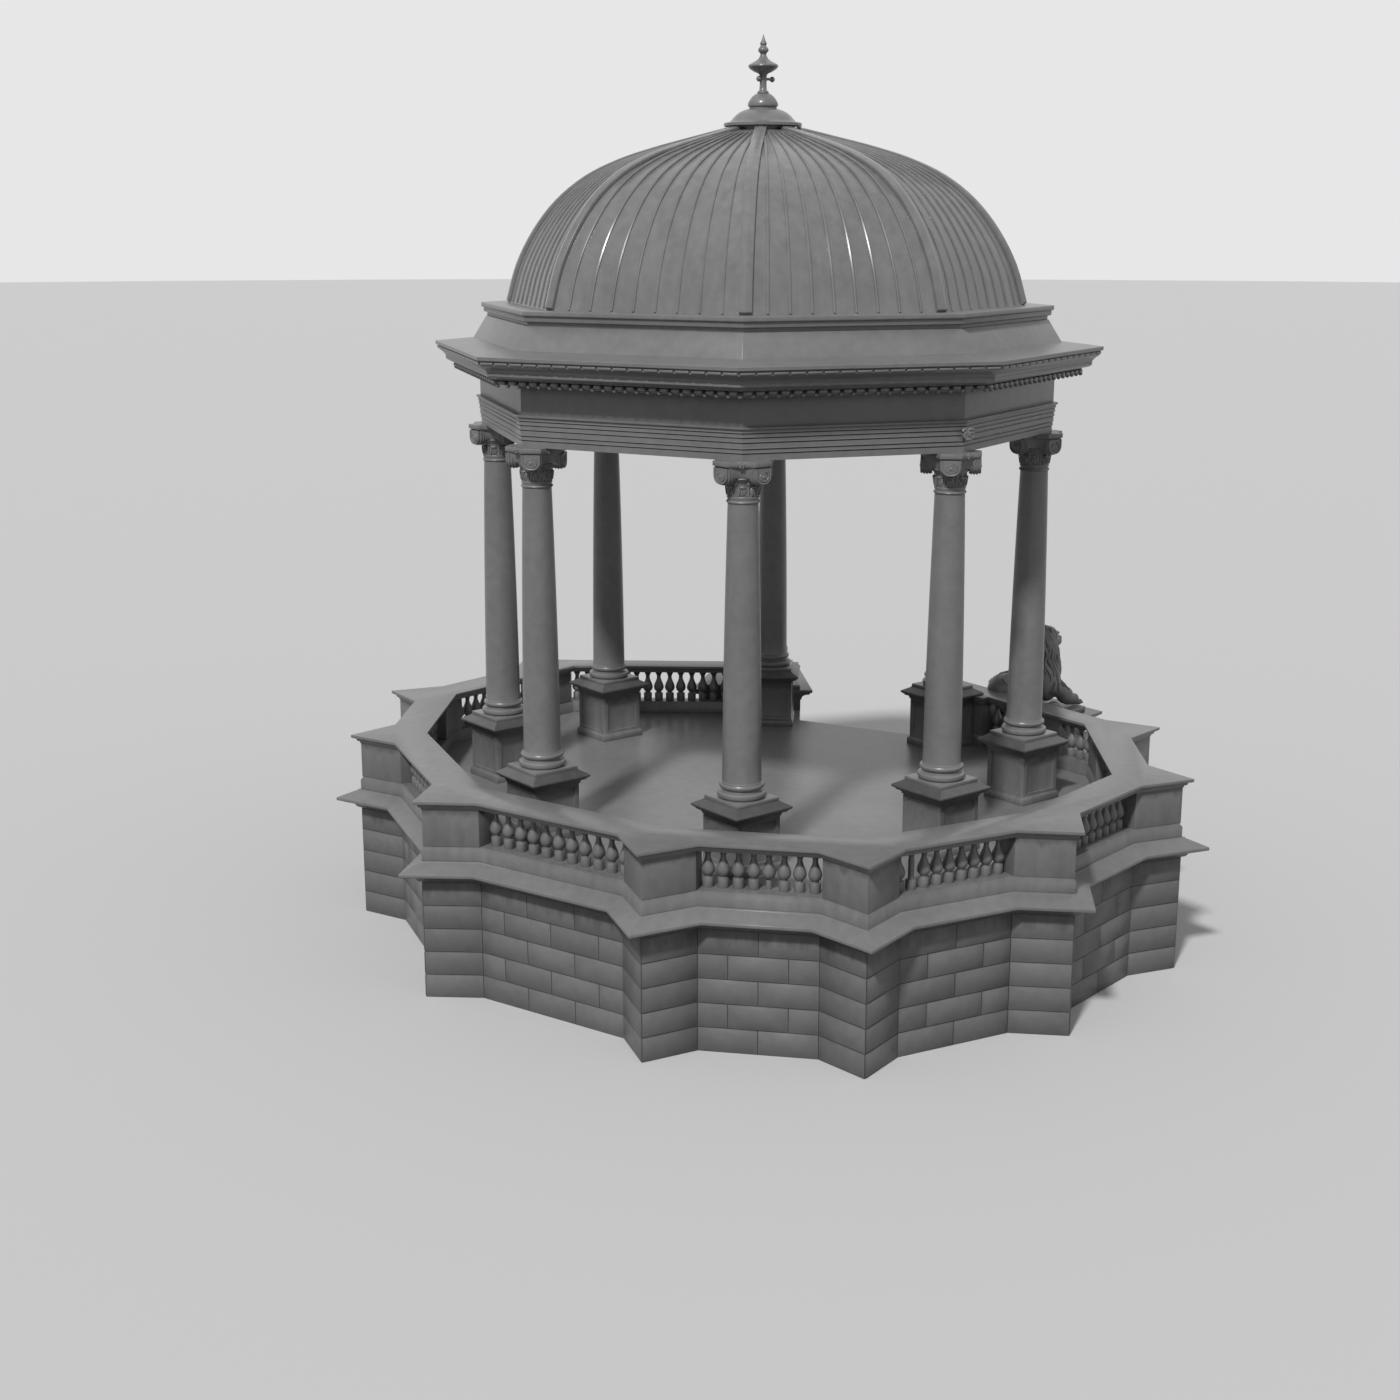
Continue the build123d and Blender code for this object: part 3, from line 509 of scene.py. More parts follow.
def hollowPlate(bm, half, hollow, cut, foot, top, share=1.0):
    # a square plate with hollow sides and cut corners, its foot drawn in by a share
    low = bmesh.ops.create_circle(bm, cap_ends=True, segments=40, radius=half,
                                  matrix=Matrix.Translation((0, 0, foot)))["verts"]
    corner = half - cut
    for index, vert in enumerate(low):
        side, step = divmod(index, 10)
        along = corner * (2 * min(step, 8) / 8 - 1)
        reach = half - hollow * (1 - (along / corner) ** 2)
        spot = Vector((along, -reach, foot))
        if step == 9:
            spot = Vector((corner + cut / 2, -half + cut / 2, foot))
        vert.co = Matrix.Rotation(math.radians(90 * side), 3, "Z") @ spot
    face = next(face for face in low[0].link_faces)
    grown = bmesh.ops.extrude_face_region(bm, geom=[face])["geom"]
    raised = [item for item in grown if isinstance(item, bmesh.types.BMVert)]
    bmesh.ops.translate(bm, verts=raised, vec=(0, 0, top - foot))
    bmesh.ops.scale(bm, verts=low, vec=(share, share, 1))


def voluteOutline(half, foot, top, steps=16):
    # from one top corner round the foot to the other
    bend = half * 0.86
    points = [(-half, top)]
    for step in range(steps + 1):
        angle = math.pi + math.pi * step / steps
        across = math.cos(angle)
        side = -1 if across < 0 else 1
        points.append((side * (half - bend) + bend * across, foot + bend + bend * math.sin(angle)))
    points.append((half, top))
    return points


def voluteMesh():
    look = capitalLook
    bm = bmesh.new()
    reach, half, foot, top = look["voluteReach"], look["voluteHalf"], look["voluteFoot"], look["abacusFoot"]
    outline = voluteOutline(half - 0.012, foot + 0.012, top)
    verts = [bm.verts.new((reach - 0.018, y, z)) for y, z in outline]
    front = bm.faces.new(verts)
    grown = bmesh.ops.extrude_face_region(bm, geom=[front])["geom"]
    back = [item for item in grown if isinstance(item, bmesh.types.BMVert)]
    bmesh.ops.translate(bm, verts=back, vec=(-look["voluteDepth"], 0, 0))
    rounded = [edge for edge in front.edges if min(vert.co.z for vert in edge.verts) < top - 0.001]
    bmesh.ops.bevel(bm, geom=rounded, offset=look["voluteEase"], offset_type="OFFSET", segments=3,
                    profile=0.5, affect="EDGES", clamp_overlap=True, material=-1)
    # rims round the foot, the front one the boldest
    for setBack, thick, inset in look["rims"]:
        rim = [(reach - setBack, y, z) for y, z in voluteOutline(half - inset, foot + inset, top)]
        sweep(bm, rim, [thick] * len(rim), 8)
    # the scroll on its front
    centre = foot + 0.128
    path = []
    radii = []
    for step in range(37):
        share = step / 36
        angle = math.radians(70) - share * 1.7 * 2 * math.pi
        wide = 0.1 * (1 - 0.72 * share)
        path.append((reach - 0.016, wide * math.cos(angle), centre + 0.82 * wide * math.sin(angle)))
        radii.append(0.0135 * (1 - 0.3 * share))
    sweep(bm, path, radii, 6)
    blob(bm, (reach - 0.018, 0, centre), (0.022, 0.03, 0.038), segments=10, rings=8)
    blob(bm, (reach - 0.03, 0, centre - 0.01), (0.022, 0.1, 0.082), segments=16, rings=8)
    bmesh.ops.recalc_face_normals(bm, faces=bm.faces)
    return asMesh(bm, "volute")


def capitalMesh():
    look = capitalLook
    bm = turned(look["profile"], 40)
    part = bmesh.new()
    cut = look["voluteHalf"] * math.sqrt(2)
    half, foot = look["abacusHalf"], look["abacusFoot"]
    hollowPlate(part, half, look["abacusHollow"], cut, foot + 0.024, look["abacusTop"])
    hollowPlate(part, half - 0.022, look["abacusHollow"], cut, foot, foot + 0.026, 0.98)
    hollowPlate(part, half - 0.05, look["abacusHollow"], cut, look["blockFoot"], foot + 0.001, 0.9)
    bmesh.ops.recalc_face_normals(part, faces=part.faces)
    easeArrises(part, 0.006, 50)
    stamp(bm, asMesh(part, "abacus"), Matrix.Identity(4))
    voluteShape = voluteMesh()
    for turn in range(4):
        stamp(bm, voluteShape, Matrix.Rotation(math.radians(45 + 90 * turn), 4, "Z"))
        flower = bmesh.new()
        front = -half + look["abacusHollow"]
        blob(flower, (0, front - 0.016, foot + 0.05), (0.02, 0.022, 0.02), segments=8, rings=6)
        for petal in range(5):
            angle = math.radians(90 + 72 * petal)
            spot = (0.032 * math.cos(angle), front - 0.006, foot + 0.05 + 0.032 * math.sin(angle))
            blob(flower, spot, (0.024, 0.016, 0.024), segments=8, rings=6)
        stamp(bm, asMesh(flower, "flower"), Matrix.Rotation(math.radians(90 * turn), 4, "Z"))
    leaf = bmesh.new()
    blob(leaf, (0.218, 0, 8.035), (0.03, 0.066, 0.075), segments=12, rings=8)
    blob(leaf, (0.24, 0, 8.1), (0.032, 0.05, 0.024), segments=12, rings=8)
    for side in (-1, 0, 1):
        sweep(leaf, [(0.238, 0.052 * side, 7.968), (0.25, 0.036 * side, 8.03), (0.262, 0.026 * side, 8.095)],
              [0.009, 0.009, 0.006], 6)
    leafShape = asMesh(leaf, "leaf")
    bud = bmesh.new()
    blob(bud, (0.24, 0, 8.15), (0.026, 0.032, 0.032), segments=10, rings=6)
    sweep(bud, [(0.228, 0, 7.966), (0.232, 0, 8.06), (0.238, 0, 8.14)], [0.016, 0.014, 0.012], 6)
    budShape = asMesh(bud, "bud")
    for number in range(look["leaves"]):
        spin = 2 * math.pi * number / look["leaves"]
        stamp(bm, leafShape, Matrix.Rotation(spin, 4, "Z"))
        stamp(bm, budShape, Matrix.Rotation(spin + math.pi / look["leaves"], 4, "Z"))
    return asMesh(bm, "capitalShape")


capitalShape = capitalMesh()
bm = bmesh.new()
for place in columnPlaces:
    stamp(bm, capitalShape, Matrix.Translation(place) @ Matrix.Rotation(math.atan2(place.y, place.x), 4, "Z"))
showPiece("carved_capitals", bm, carvedStone, ["capitals"], 40)
print("capitals carved")


# Cornice with its dentils, drops and beads

corniceLook = {
    # outwards from the line of the columns, and level
    "section": [(-0.25, 9.388), (0.258, 9.388), (0.262, 9.4), (0.285, 9.425), (0.33, 9.436), (0.56, 9.438),
                (0.56, 9.512), (0.64, 9.512), (0.64, 9.53), (0.7, 9.533), (0.735, 9.541), (0.762, 9.555),
                (0.78, 9.573), (0.786, 9.58), (0.786, 9.616), (0.782, 9.622), (0.796, 9.648), (0.818, 9.675),
                (0.846, 9.7), (0.876, 9.72), (0.898, 9.742), (0.898, 9.797), (0.925, 9.803), (0.938, 9.81),
                (0.943, 9.818), (0.943, 9.862), (0.936, 9.87), (0.33, 9.932), (-0.25, 9.932)],
    "dentilOffset": 0.615, "dentilDepth": 0.12, "dentilHeight": 0.062, "dentilLevel": 9.479,
    "dentilPitch": 0.19, "dentilWidth": 0.128, "dentilEase": 0.016,
    "dropOffset": 0.62, "dropLevel": 9.434, "dropRadius": 0.036,
    "beadOffset": 0.902, "beadLevel": 9.771, "beadPitch": 0.26, "beadGap": 0.03, "beadHeight": 0.046,
    "beadDepth": 0.045, "beadEase": 0.016,
}


def beamCorner(index, offset):
    # corner of the ring of beams, moved outwards by an offset
    corner = columnPlaces[index % 8]
    before = (corner - columnPlaces[(index - 1) % 8]).normalized()
    after = (columnPlaces[(index + 1) % 8] - corner).normalized()
    normals = [Vector((-heading.y, heading.x, 0)) for heading in (before, after)]
    if normals[0].dot(corner) < 0:
        normals = [-normal for normal in normals]
    return corner + (normals[0] + normals[1]) * offset / (1 + normals[0].dot(normals[1]))


def loopAt(verts, offset, level):
    for index, vert in enumerate(verts):
        vert.co = beamCorner(index, offset) + Vector((0, 0, level))


def mouldedRing(section, paintedShadeBands=()):
    # a section swept round the eight beams and mitred at the corners
    bm = bmesh.new()
    first = [bm.verts.new((index, 0, 0)) for index in range(8)]
    loopAt(first, *section[0])
    firstEdges = [bm.edges.new((first[index], first[(index + 1) % 8])) for index in range(8)]
    verts, edges = first, firstEdges
    for band, (offset, level) in enumerate(section[1:]):
        grown = bmesh.ops.extrude_edge_only(bm, edges=edges)["geom"]
        # bands in the list take the second material, a painted shade
        for item in grown:
            if isinstance(item, bmesh.types.BMFace):
                item.material_index = int(band in paintedShadeBands)
        fresh = {item for item in grown if isinstance(item, bmesh.types.BMVert)}
        followers = []
        for vert in verts:
            linked = [edge.other_vert(vert) for edge in vert.link_edges]
            followers.append(next(other for other in linked if other in fresh))
        verts = followers
        edges = [item for item in grown if isinstance(item, bmesh.types.BMEdge)
                 and item.verts[0] in fresh and item.verts[1] in fresh]
        loopAt(verts, offset, level)
    bmesh.ops.bridge_loops(bm, edges=firstEdges + edges)
    bmesh.ops.recalc_face_normals(bm, faces=bm.faces)
    return bm


def rowRound(bm, offset, level, pitch, shapeFor, shift=0.5):
    # evenly spaced copies along each beam
    for index in range(8):
        start, finish = beamCorner(index, offset), beamCorner(index + 1, offset)
        count = round((finish - start).length / pitch)
        step = (finish - start) / count
        shape = shapeFor(step.length)
        turn = Matrix.Rotation(math.atan2(step.y, step.x), 4, "Z")
        for number in range(count):
            spot = start + step * (number + shift) + Vector((0, 0, level))
            stamp(bm, shape, Matrix.Translation(spot) @ turn)


def dentilFor(pitch):
    look = corniceLook
    return easedBlock(look["dentilWidth"], look["dentilDepth"], look["dentilHeight"], look["dentilEase"])


def dropFor(pitch):
    bm = bmesh.new()
    blob(bm, (0, 0, 0), (corniceLook["dropRadius"],) * 3, segments=10, rings=6)
    return asMesh(bm, "drop")


def beadFor(pitch):
    look = corniceLook
    return easedBlock(pitch - look["beadGap"], look["beadDepth"], look["beadHeight"], look["beadEase"], 2)


def cornice():
    look = corniceLook
    bm = mouldedRing(look["section"])
    showPiece("cornice_moulded", bm, beamStone, ["cornice"], 30)
    bm = bmesh.new()
    rowRound(bm, look["dentilOffset"], look["dentilLevel"], look["dentilPitch"], dentilFor)
    rowRound(bm, look["dropOffset"], look["dropLevel"], look["dentilPitch"], dropFor, 0)
    showPiece("dentils_and_drops", bm, beamStone, ["dentils"], 50)
    bm = bmesh.new()
    rowRound(bm, look["beadOffset"], look["beadLevel"], look["beadPitch"], beadFor)
    showPiece("cornice_beads", bm, beamStone, smoothAngle=60)


cornice()
print("cornice made")


# Architrave in bands, with a groove and a bead between them, the back of each groove darkened as painted
# shade

architraveLook = {
    "foot": 8.48, "top": 8.964, "inner": -0.25, "face": 0.237, "stepOut": 0.009,
    "steps": [0.106, 0.17, 0.263, 0.335, 0.399],     # levels over its foot
    "groove": 0.014, "grooveHeight": 0.012, "bead": 0.006, "crown": 0.44,
}


def architrave():
    look = architraveLook
    section = [(look["inner"], look["foot"]), (look["face"], look["foot"])]
    dark = []
    for number, rise in enumerate(look["steps"]):
        face = look["face"] + look["stepOut"] * number
        level = look["foot"] + rise
        under = level - look["grooveHeight"]
        inner = face - look["groove"]
        beadFace = face + look["stepOut"] + look["bead"]
        # the back of each groove takes the painted shade
        dark.append(len(section) + 1)
        section += [(face, under), (inner, under), (inner, level), (beadFace - 0.003, level),
                    (beadFace, level + 0.004), (beadFace, level + 0.01),
                    (face + look["stepOut"], level + 0.015)]
    face = look["face"] + look["stepOut"] * len(look["steps"])
    foot = look["foot"] + look["crown"]
    section += [(face, foot), (face + 0.01, foot + 0.002), (face + 0.024, foot + 0.012),
                (face + 0.03, foot + 0.024), (face + 0.03, look["top"] - 0.003), (face + 0.027, look["top"]),
                (look["inner"], look["top"])]
    bm = mouldedRing(section, dark)
    beam = showPiece("architrave_moulded", bm, beamStone, ["architrave"], 30)
    # second material: painted shade at the back of the grooves
    beam.data.materials.append(jointAndShadeStone)


architrave()
print("architrave made")


# Dome with its ribs and rolls

domeLook = {
    # radius to the first column's corner, and level
    "curve": [(4.234, 10.515), (4.055, 11.104), (3.766, 11.648), (3.381, 12.127), (2.898, 12.508),
              (2.342, 12.774), (1.755, 12.962), (1.158, 13.116), (0.56, 13.266)],
    "fineness": 4,
    "thickness": 0.15,
    "ribWidth": 0.21,
    "ribHeight": 0.045,
    "ribEase": 0.008,
    "rolls": 8,
    "rollRadius": 0.022,
    "rollLift": 0.012,
}


def smoothCurve(points, fineness):
    # a smooth curve through the points
    points = [Vector(point) for point in points]
    ends = [2 * points[0] - points[1]] + points + [2 * points[-1] - points[-2]]
    curve = []
    for a, b, c, d in zip(ends, ends[1:], ends[2:], ends[3:]):
        for step in range(fineness):
            t = step / fineness
            curve.append(0.5 * (2 * b + (c - a) * t + (2 * a - 5 * b + 4 * c - d) * t * t
                                + (3 * b - a - 3 * c + d) * t ** 3))
    return curve + [points[-1]]


domeCurve = smoothCurve(domeLook["curve"], domeLook["fineness"])
cornerRadius = columnPlaces[0].length


def domeShell():
    bm = bmesh.new()
    radius, level = domeCurve[0]
    ring = [bm.verts.new((*(place.xy * radius / cornerRadius), level)) for place in columnPlaces]
    edges = [bm.edges.new((ring[index], ring[(index + 1) % 8])) for index in range(8)]
    for lower, upper in zip(domeCurve, domeCurve[1:]):
        grown = bmesh.ops.extrude_edge_only(bm, edges=edges)["geom"]
        ring = [item for item in grown if isinstance(item, bmesh.types.BMVert)]
        inRing = set(ring)
        edges = [item for item in grown if isinstance(item, bmesh.types.BMEdge)
                 and item.verts[0] in inRing and item.verts[1] in inRing]
        share = upper.x / lower.x
        bmesh.ops.scale(bm, verts=ring, vec=(share, share, 1))
        bmesh.ops.translate(bm, verts=ring, vec=(0, 0, upper.y - lower.y))
    bmesh.ops.recalc_face_normals(bm, faces=bm.faces)
    if sum(face.normal.z for face in bm.faces) < 0:
        bmesh.ops.reverse_faces(bm, faces=bm.faces)
    bmesh.ops.solidify(bm, geom=bm.faces[:], thickness=domeLook["thickness"])
    showPiece("dome_shell", bm, domeCover, ["dome"], 28)


def domeRibs():
    bm = bmesh.new()
    half = domeLook["ribWidth"] / 2
    for index, place in enumerate(columnPlaces):
        before = (columnPlaces[index - 1] - place).normalized()
        after = (columnPlaces[(index + 1) % 8] - place).normalized()
        outward = place.normalized()
        rows = []
        for radius, level in domeCurve:
            middle = Vector((*(place.xy * radius / cornerRadius), level))
            lift = outward * domeLook["ribHeight"] + Vector((0, 0, domeLook["ribHeight"]))
            corners = [middle + before * half, middle, middle + after * half]
            corners += [corner + lift for corner in reversed(corners)]
            rows.append([bm.verts.new(corner) for corner in corners])
        for lower, upper in zip(rows, rows[1:]):
            for side in range(6):
                following = (side + 1) % 6
                bm.faces.new((lower[side], lower[following], upper[following], upper[side]))
        for row in (rows[0], rows[-1]):
            bm.faces.new(row[:2] + row[4:])
            bm.faces.new(row[1:5])
    bmesh.ops.recalc_face_normals(bm, faces=bm.faces)
    easeArrises(bm, domeLook["ribEase"], 50)
    showPiece("dome_ribs_eased", bm, domeCover, ["dome_ribs"], 28)


def domeRolls():
    bm = bmesh.new()
    for index, place in enumerate(columnPlaces):
        following = columnPlaces[(index + 1) % 8]
        for roll in range(1, domeLook["rolls"] + 1):
            spot = place.lerp(following, roll / (domeLook["rolls"] + 1))
            path = []
            radii = []
            for radius, level in domeCurve[:-2]:
                path.append((*(spot.xy * radius / cornerRadius), level + domeLook["rollLift"]))
                radii.append(domeLook["rollRadius"] * min(1, 0.3 + 0.5 * radius))
            part = bmesh.new()
            sweep(part, path, radii, 6)
            bm.from_mesh(asMesh(part, "roll"))
    bmesh.ops.recalc_face_normals(bm, faces=bm.faces)
    showPiece("dome_rolls", bm, domeCover, ["dome_seams"], 50)


domeShell()
domeRibs()
domeRolls()
print("dome covered")


# Collar and finial

finialLook = {
    "collar": [(0, 13.266), (0.47, 13.266), (0.47, 13.32), (0.62, 13.32), (0.633, 13.328),
               (0.633, 13.368), (0.62, 13.377), (0.56, 13.386), (0.529, 13.398), (0.5, 13.432),
               (0.455, 13.482), (0.39, 13.535), (0.31, 13.573), (0.234, 13.595), (0.22, 13.607),
               (0.222, 13.622), (0.242, 13.635), (0.247, 13.657), (0.24, 13.69), (0.215, 13.735),
               (0.175, 13.785), (0.122, 13.827), (0, 13.827)],
    "shaft": [(0, 13.827), (0.084, 13.827), (0.093, 13.836), (0.095, 13.849), (0.09, 13.862),
              (0.074, 13.874), (0.06, 13.89), (0.056, 13.97), (0.056, 14.08), (0.062, 14.12),
              (0.085, 14.142), (0.15, 14.168), (0.215, 14.21), (0.243, 14.25), (0.236, 14.272),
              (0.19, 14.3), (0.12, 14.335), (0.076, 14.37), (0.06, 14.4), (0.046, 14.43),
              (0.056, 14.455), (0.08, 14.478), (0.087, 14.5), (0.078, 14.524), (0.054, 14.55),
              (0.044, 14.57), (0.052, 14.588), (0.056, 14.6), (0.05, 14.615), (0.034, 14.64),
              (0.014, 14.7), (0.004, 14.736), (0, 14.736)],
    "armLevel": 14.058,
    "arms": (-0.09, 0.19),            # their reach to either side
    "armRadii": [0.024, 0.024, 0.02],
    "knob": (0.046, 0.04, 0.046),
}

showPiece("turned_collar", turned(finialLook["collar"], 48), domeCover, ["collar"], 40)
bm = turned(finialLook["shaft"], 32)
shortArm, longArm = [(reach, 0, finialLook["armLevel"]) for reach in finialLook["arms"]]
sweep(bm, [shortArm, (0, 0, finialLook["armLevel"]), longArm], finialLook["armRadii"], 10)
for knob in (longArm, shortArm):
    blob(bm, knob, finialLook["knob"])
showPiece("turned_finial", bm, domeCover, ["finial"], 40)
print("finial turned")


# Remnant of carving on the architrave

brokenScroll = {"corner": 6, "offset": 0.3, "level": 8.76, "turns": 1.4, "radius": 0.09}


def scrollRemnant():
    # what is left of a carved scroll on the corner over one column
    bm = bmesh.new()
    for side in (-1, 1):
        path = []
        radii = []
        for step in range(25):
            share = step / 24
            angle = math.radians(150) - share * brokenScroll["turns"] * 2 * math.pi
            reach = brokenScroll["radius"] * (1 - 0.75 * share)
            path.append((0.02 + 0.02 * share, side * (0.055 + 0.2 * reach) + 0.5 * reach * math.cos(angle),
                         reach * math.sin(angle)))
            radii.append(0.024 * (1 - 0.4 * share))
        sweep(bm, path, radii, 8)
    blob(bm, (0, 0, 0), (0.05, 0.11, 0.085))
    blob(bm, (0.02, 0, -0.075), (0.045, 0.08, 0.03))
    blob(bm, (0.02, 0.05, 0.07), (0.04, 0.06, 0.03))
    bmesh.ops.recalc_face_normals(bm, faces=bm.faces)
    shape = asMesh(bm, "scrollRemnant")
    corner = beamCorner(brokenScroll["corner"], brokenScroll["offset"])
    bm = bmesh.new()
    turn = Matrix.Rotation(math.atan2(corner.y, corner.x), 4, "Z")
    stamp(bm, shape, Matrix.Translation(corner + Vector((0, 0, brokenScroll["level"]))) @ turn)
    showPiece("scroll_remnant", bm, carvedStone, smoothAngle=60)


scrollRemnant()
print("scroll remnant made")


# Lions

lionLook = {
    "rump": 5.47,          # from the centre, along the line to an end column
    "lengthened": 1.1,
    "leftShift": (0.15, -0.09, 1.09),      # outwards, aside and share of its height
    "aside": 0.43,         # from that line, away from the entrance
    "plinthTop": 2.75,
    "plinthEase": 0.02,
    "fineness": 0.02,
    "strands": 34,
    "maneTiers": [(1.52, 1.14, 0.3), (1.34, 0.92, 0.55), (1.08, 0.62, 0.2), (0.82, 0.38, 0.7)],
    "bareFace": 42,        # degrees to either side of the nose without strands
    "tailThickness": 0.045,
}


def lionBulk():
    # rump at the origin, facing +X, joined into one skin by the remesh
    bm = bmesh.new()
    blob(bm, (0.62, 0, 0.36), (0.62, 0.33, 0.31), segments=24, rings=16)
    blob(bm, (0.25, 0, 0.45), (0.31, 0.32, 0.31), segments=24, rings=16)
    blob(bm, (1.12, 0, 0.72), (0.37, 0.37, 0.5), segments=24, rings=16)
    blob(bm, (1.2, 0, 0.72), (0.27, 0.3, 0.36), segments=24, rings=16)
    blob(bm, (1.13, 0, 0.99), (0.3, 0.35, 0.42), segments=24, rings=16)
    blob(bm, (1.1, 0, 1.31), (0.24, 0.24, 0.27), segments=24, rings=16)
    # head
    blob(bm, (1.3, 0, 1.33), (0.2, 0.17, 0.2), segments=20, rings=14)
    blob(bm, (1.48, 0, 1.21), (0.16, 0.105, 0.1), segments=20, rings=14)
    blob(bm, (1.42, 0, 1.33), (0.13, 0.07, 0.07), Matrix.Rotation(math.radians(35), 4, "Y"))
    blob(bm, (1.6, 0, 1.265), (0.055, 0.06, 0.04))
    blob(bm, (1.44, 0, 1.095), (0.1, 0.07, 0.05))
    for side in (-1, 1):
        blob(bm, (1.45, 0.075 * side, 1.385), (0.075, 0.055, 0.038))
        blob(bm, (1.38, 0.12 * side, 1.2), (0.1, 0.07, 0.1))
        blob(bm, (1.53, 0.05 * side, 1.18), (0.08, 0.055, 0.055))
        # haunch, hind leg and its paw
        lean = Matrix.Rotation(math.radians(-24), 4, "Y")
        blob(bm, (0.42, 0.27 * side, 0.32), (0.36, 0.16, 0.27), lean, segments=20, rings=14)
        sweep(bm, [(0.3, 0.36 * side, 0.1), (0.62, 0.44 * side, 0.09), (0.92, 0.5 * side, 0.09)],
              [0.1, 0.085, 0.075], 12)
        blob(bm, (0.99, 0.51 * side, 0.095), (0.13, 0.1, 0.09))
        # shoulder, foreleg with its knuckle, and paw
        blob(bm, (1.04, 0.3 * side, 0.5), (0.25, 0.16, 0.36), segments=20, rings=14)
        sweep(bm, [(1.02, 0.36 * side, 0.46), (1.22, 0.4 * side, 0.36), (1.38, 0.42 * side, 0.23)],
              [0.17, 0.15, 0.15], 14)
        blob(bm, (1.36, 0.43 * side, 0.235), (0.17, 0.15, 0.17))
        sweep(bm, [(1.4, 0.43 * side, 0.16), (1.56, 0.45 * side, 0.13), (1.62, 0.46 * side, 0.115)],
              [0.13, 0.115, 0.11], 12)
        for toe in range(4):
            across = (toe - 1.5) * 0.052
            blob(bm, (1.67 - 0.3 * abs(across), 0.46 * side + across, 0.07), (0.085, 0.033, 0.06))
            blob(bm, (1.07 - 0.3 * abs(across), 0.52 * side + across, 0.065), (0.08, 0.03, 0.055))
    return bm


def remeshed(bm, fineness, smoothing):
    # one closed skin round overlapping shapes
    rough = bpy.data.objects.new("rough", asMesh(bm, "rough"))
    scene.collection.objects.link(rough)
    skin = rough.modifiers.new("skin", "REMESH")
    skin.mode = "VOXEL"
    skin.voxel_size = fineness
    calm = rough.modifiers.new("calm", "SMOOTH")
    calm.factor = 0.5
    calm.iterations = smoothing
    bpy.context.view_layer.update()
    whole = rough.evaluated_get(bpy.context.evaluated_depsgraph_get())
    mesh = bpy.data.meshes.new_from_object(whole)
    bpy.data.objects.remove(rough)
    return mesh


def surfaceAt(tree, bearing, level, middle=1.14):
    # point of the skin in a direction round the upright line through the mane
    heading = Vector((math.cos(bearing), math.sin(bearing), 0))
    start = Vector((middle, 0, level)) + heading * 1.5
    hit, normal = tree.ray_cast(start, -heading)[:2]
    return hit, normal


def maneStrands(bm, tree):
    for tier, (top, foot, phase) in enumerate(lionLook["maneTiers"]):
        for number in range(lionLook["strands"]):
            bearing = 2 * math.pi * (number + 0.5 * (tier % 2)) / lionLook["strands"]
            fromFront = abs((bearing + math.pi) % (2 * math.pi) - math.pi)
            onFace = fromFront < math.radians(lionLook["bareFace"]) and foot > 0.9
            if onFace or (tier == 3 and fromFront > math.radians(100)):
                continue
            drop = 0.05 * math.sin(3.7 * number + phase * 9)
            path = []
            radii = []
            for step in range(13):
                share = step / 12
                level = top + (foot - top) * share + drop
                wave = 0.1 * math.sin(share * 5.5 + phase * 6 + 0.35 * number)
                hit, normal = surfaceAt(tree, bearing + wave, level)
                if hit is None:
                    continue
                path.append(hit + normal * 0.004)
                radii.append(0.012 + 0.022 * math.sin(math.pi * min(1, 0.12 + 0.9 * share)))
            if len(path) > 3:
                strand = bmesh.new()
                sweep(strand, path, radii, 6)
                bm.from_mesh(asMesh(strand, "strand"))


def lionPlinth(node):
    bm = cadCopy(node)
    cut = Vector((0, 0, lionLook["plinthTop"] - 0.001))
    everything = bm.verts[:] + bm.edges[:] + bm.faces[:]
    made = bmesh.ops.bisect_plane(bm, geom=everything, plane_co=cut, plane_no=(0, 0, 1), clear_outer=True)
    rim = [item for item in made["geom_cut"] if isinstance(item, bmesh.types.BMEdge)]
    bmesh.ops.holes_fill(bm, edges=rim, sides=0)
    easeArrises(bm, lionLook["plinthEase"], 60)
    return asMesh(bm, "lionPlinth")


def lionShape():
    skin = remeshed(lionBulk(), lionLook["fineness"], 6)
    bm = bmesh.new()
    bm.from_mesh(skin)
    tree = BVHTree.FromBMesh(bm)
    maneStrands(bm, tree)
    for side in (-1, 1):
        blob(bm, (1.16, 0.19 * side, 1.49), (0.035, 0.06, 0.065))
        blob(bm, (1.478, 0.075 * side, 1.325), (0.024, 0.024, 0.018))
        for toe in range(4):
            across = (toe - 1.5) * 0.052
            for reach, aside in ((1.742, 0.46), (1.14, 0.52)):
                claw = (reach - 0.3 * abs(across), aside * side + across, 0.045)
                blob(bm, claw, (0.03, 0.011, 0.018), segments=8, rings=6)
    thick = lionLook["tailThickness"]
    tail = [(0.06, -0.02, 0.34), (-0.02, -0.16, 0.2), (0.0, -0.32, 0.08), (0.16, -0.45, 0.05),
            (0.36, -0.52, 0.05)]
    sweep(bm, tail, [thick * share for share in (1.3, 1.1, 1, 0.9, 0.8)], 10)
    blob(bm, (0.44, -0.54, 0.06), (0.12, 0.05, 0.05))
    return asMesh(bm, "lionShape")


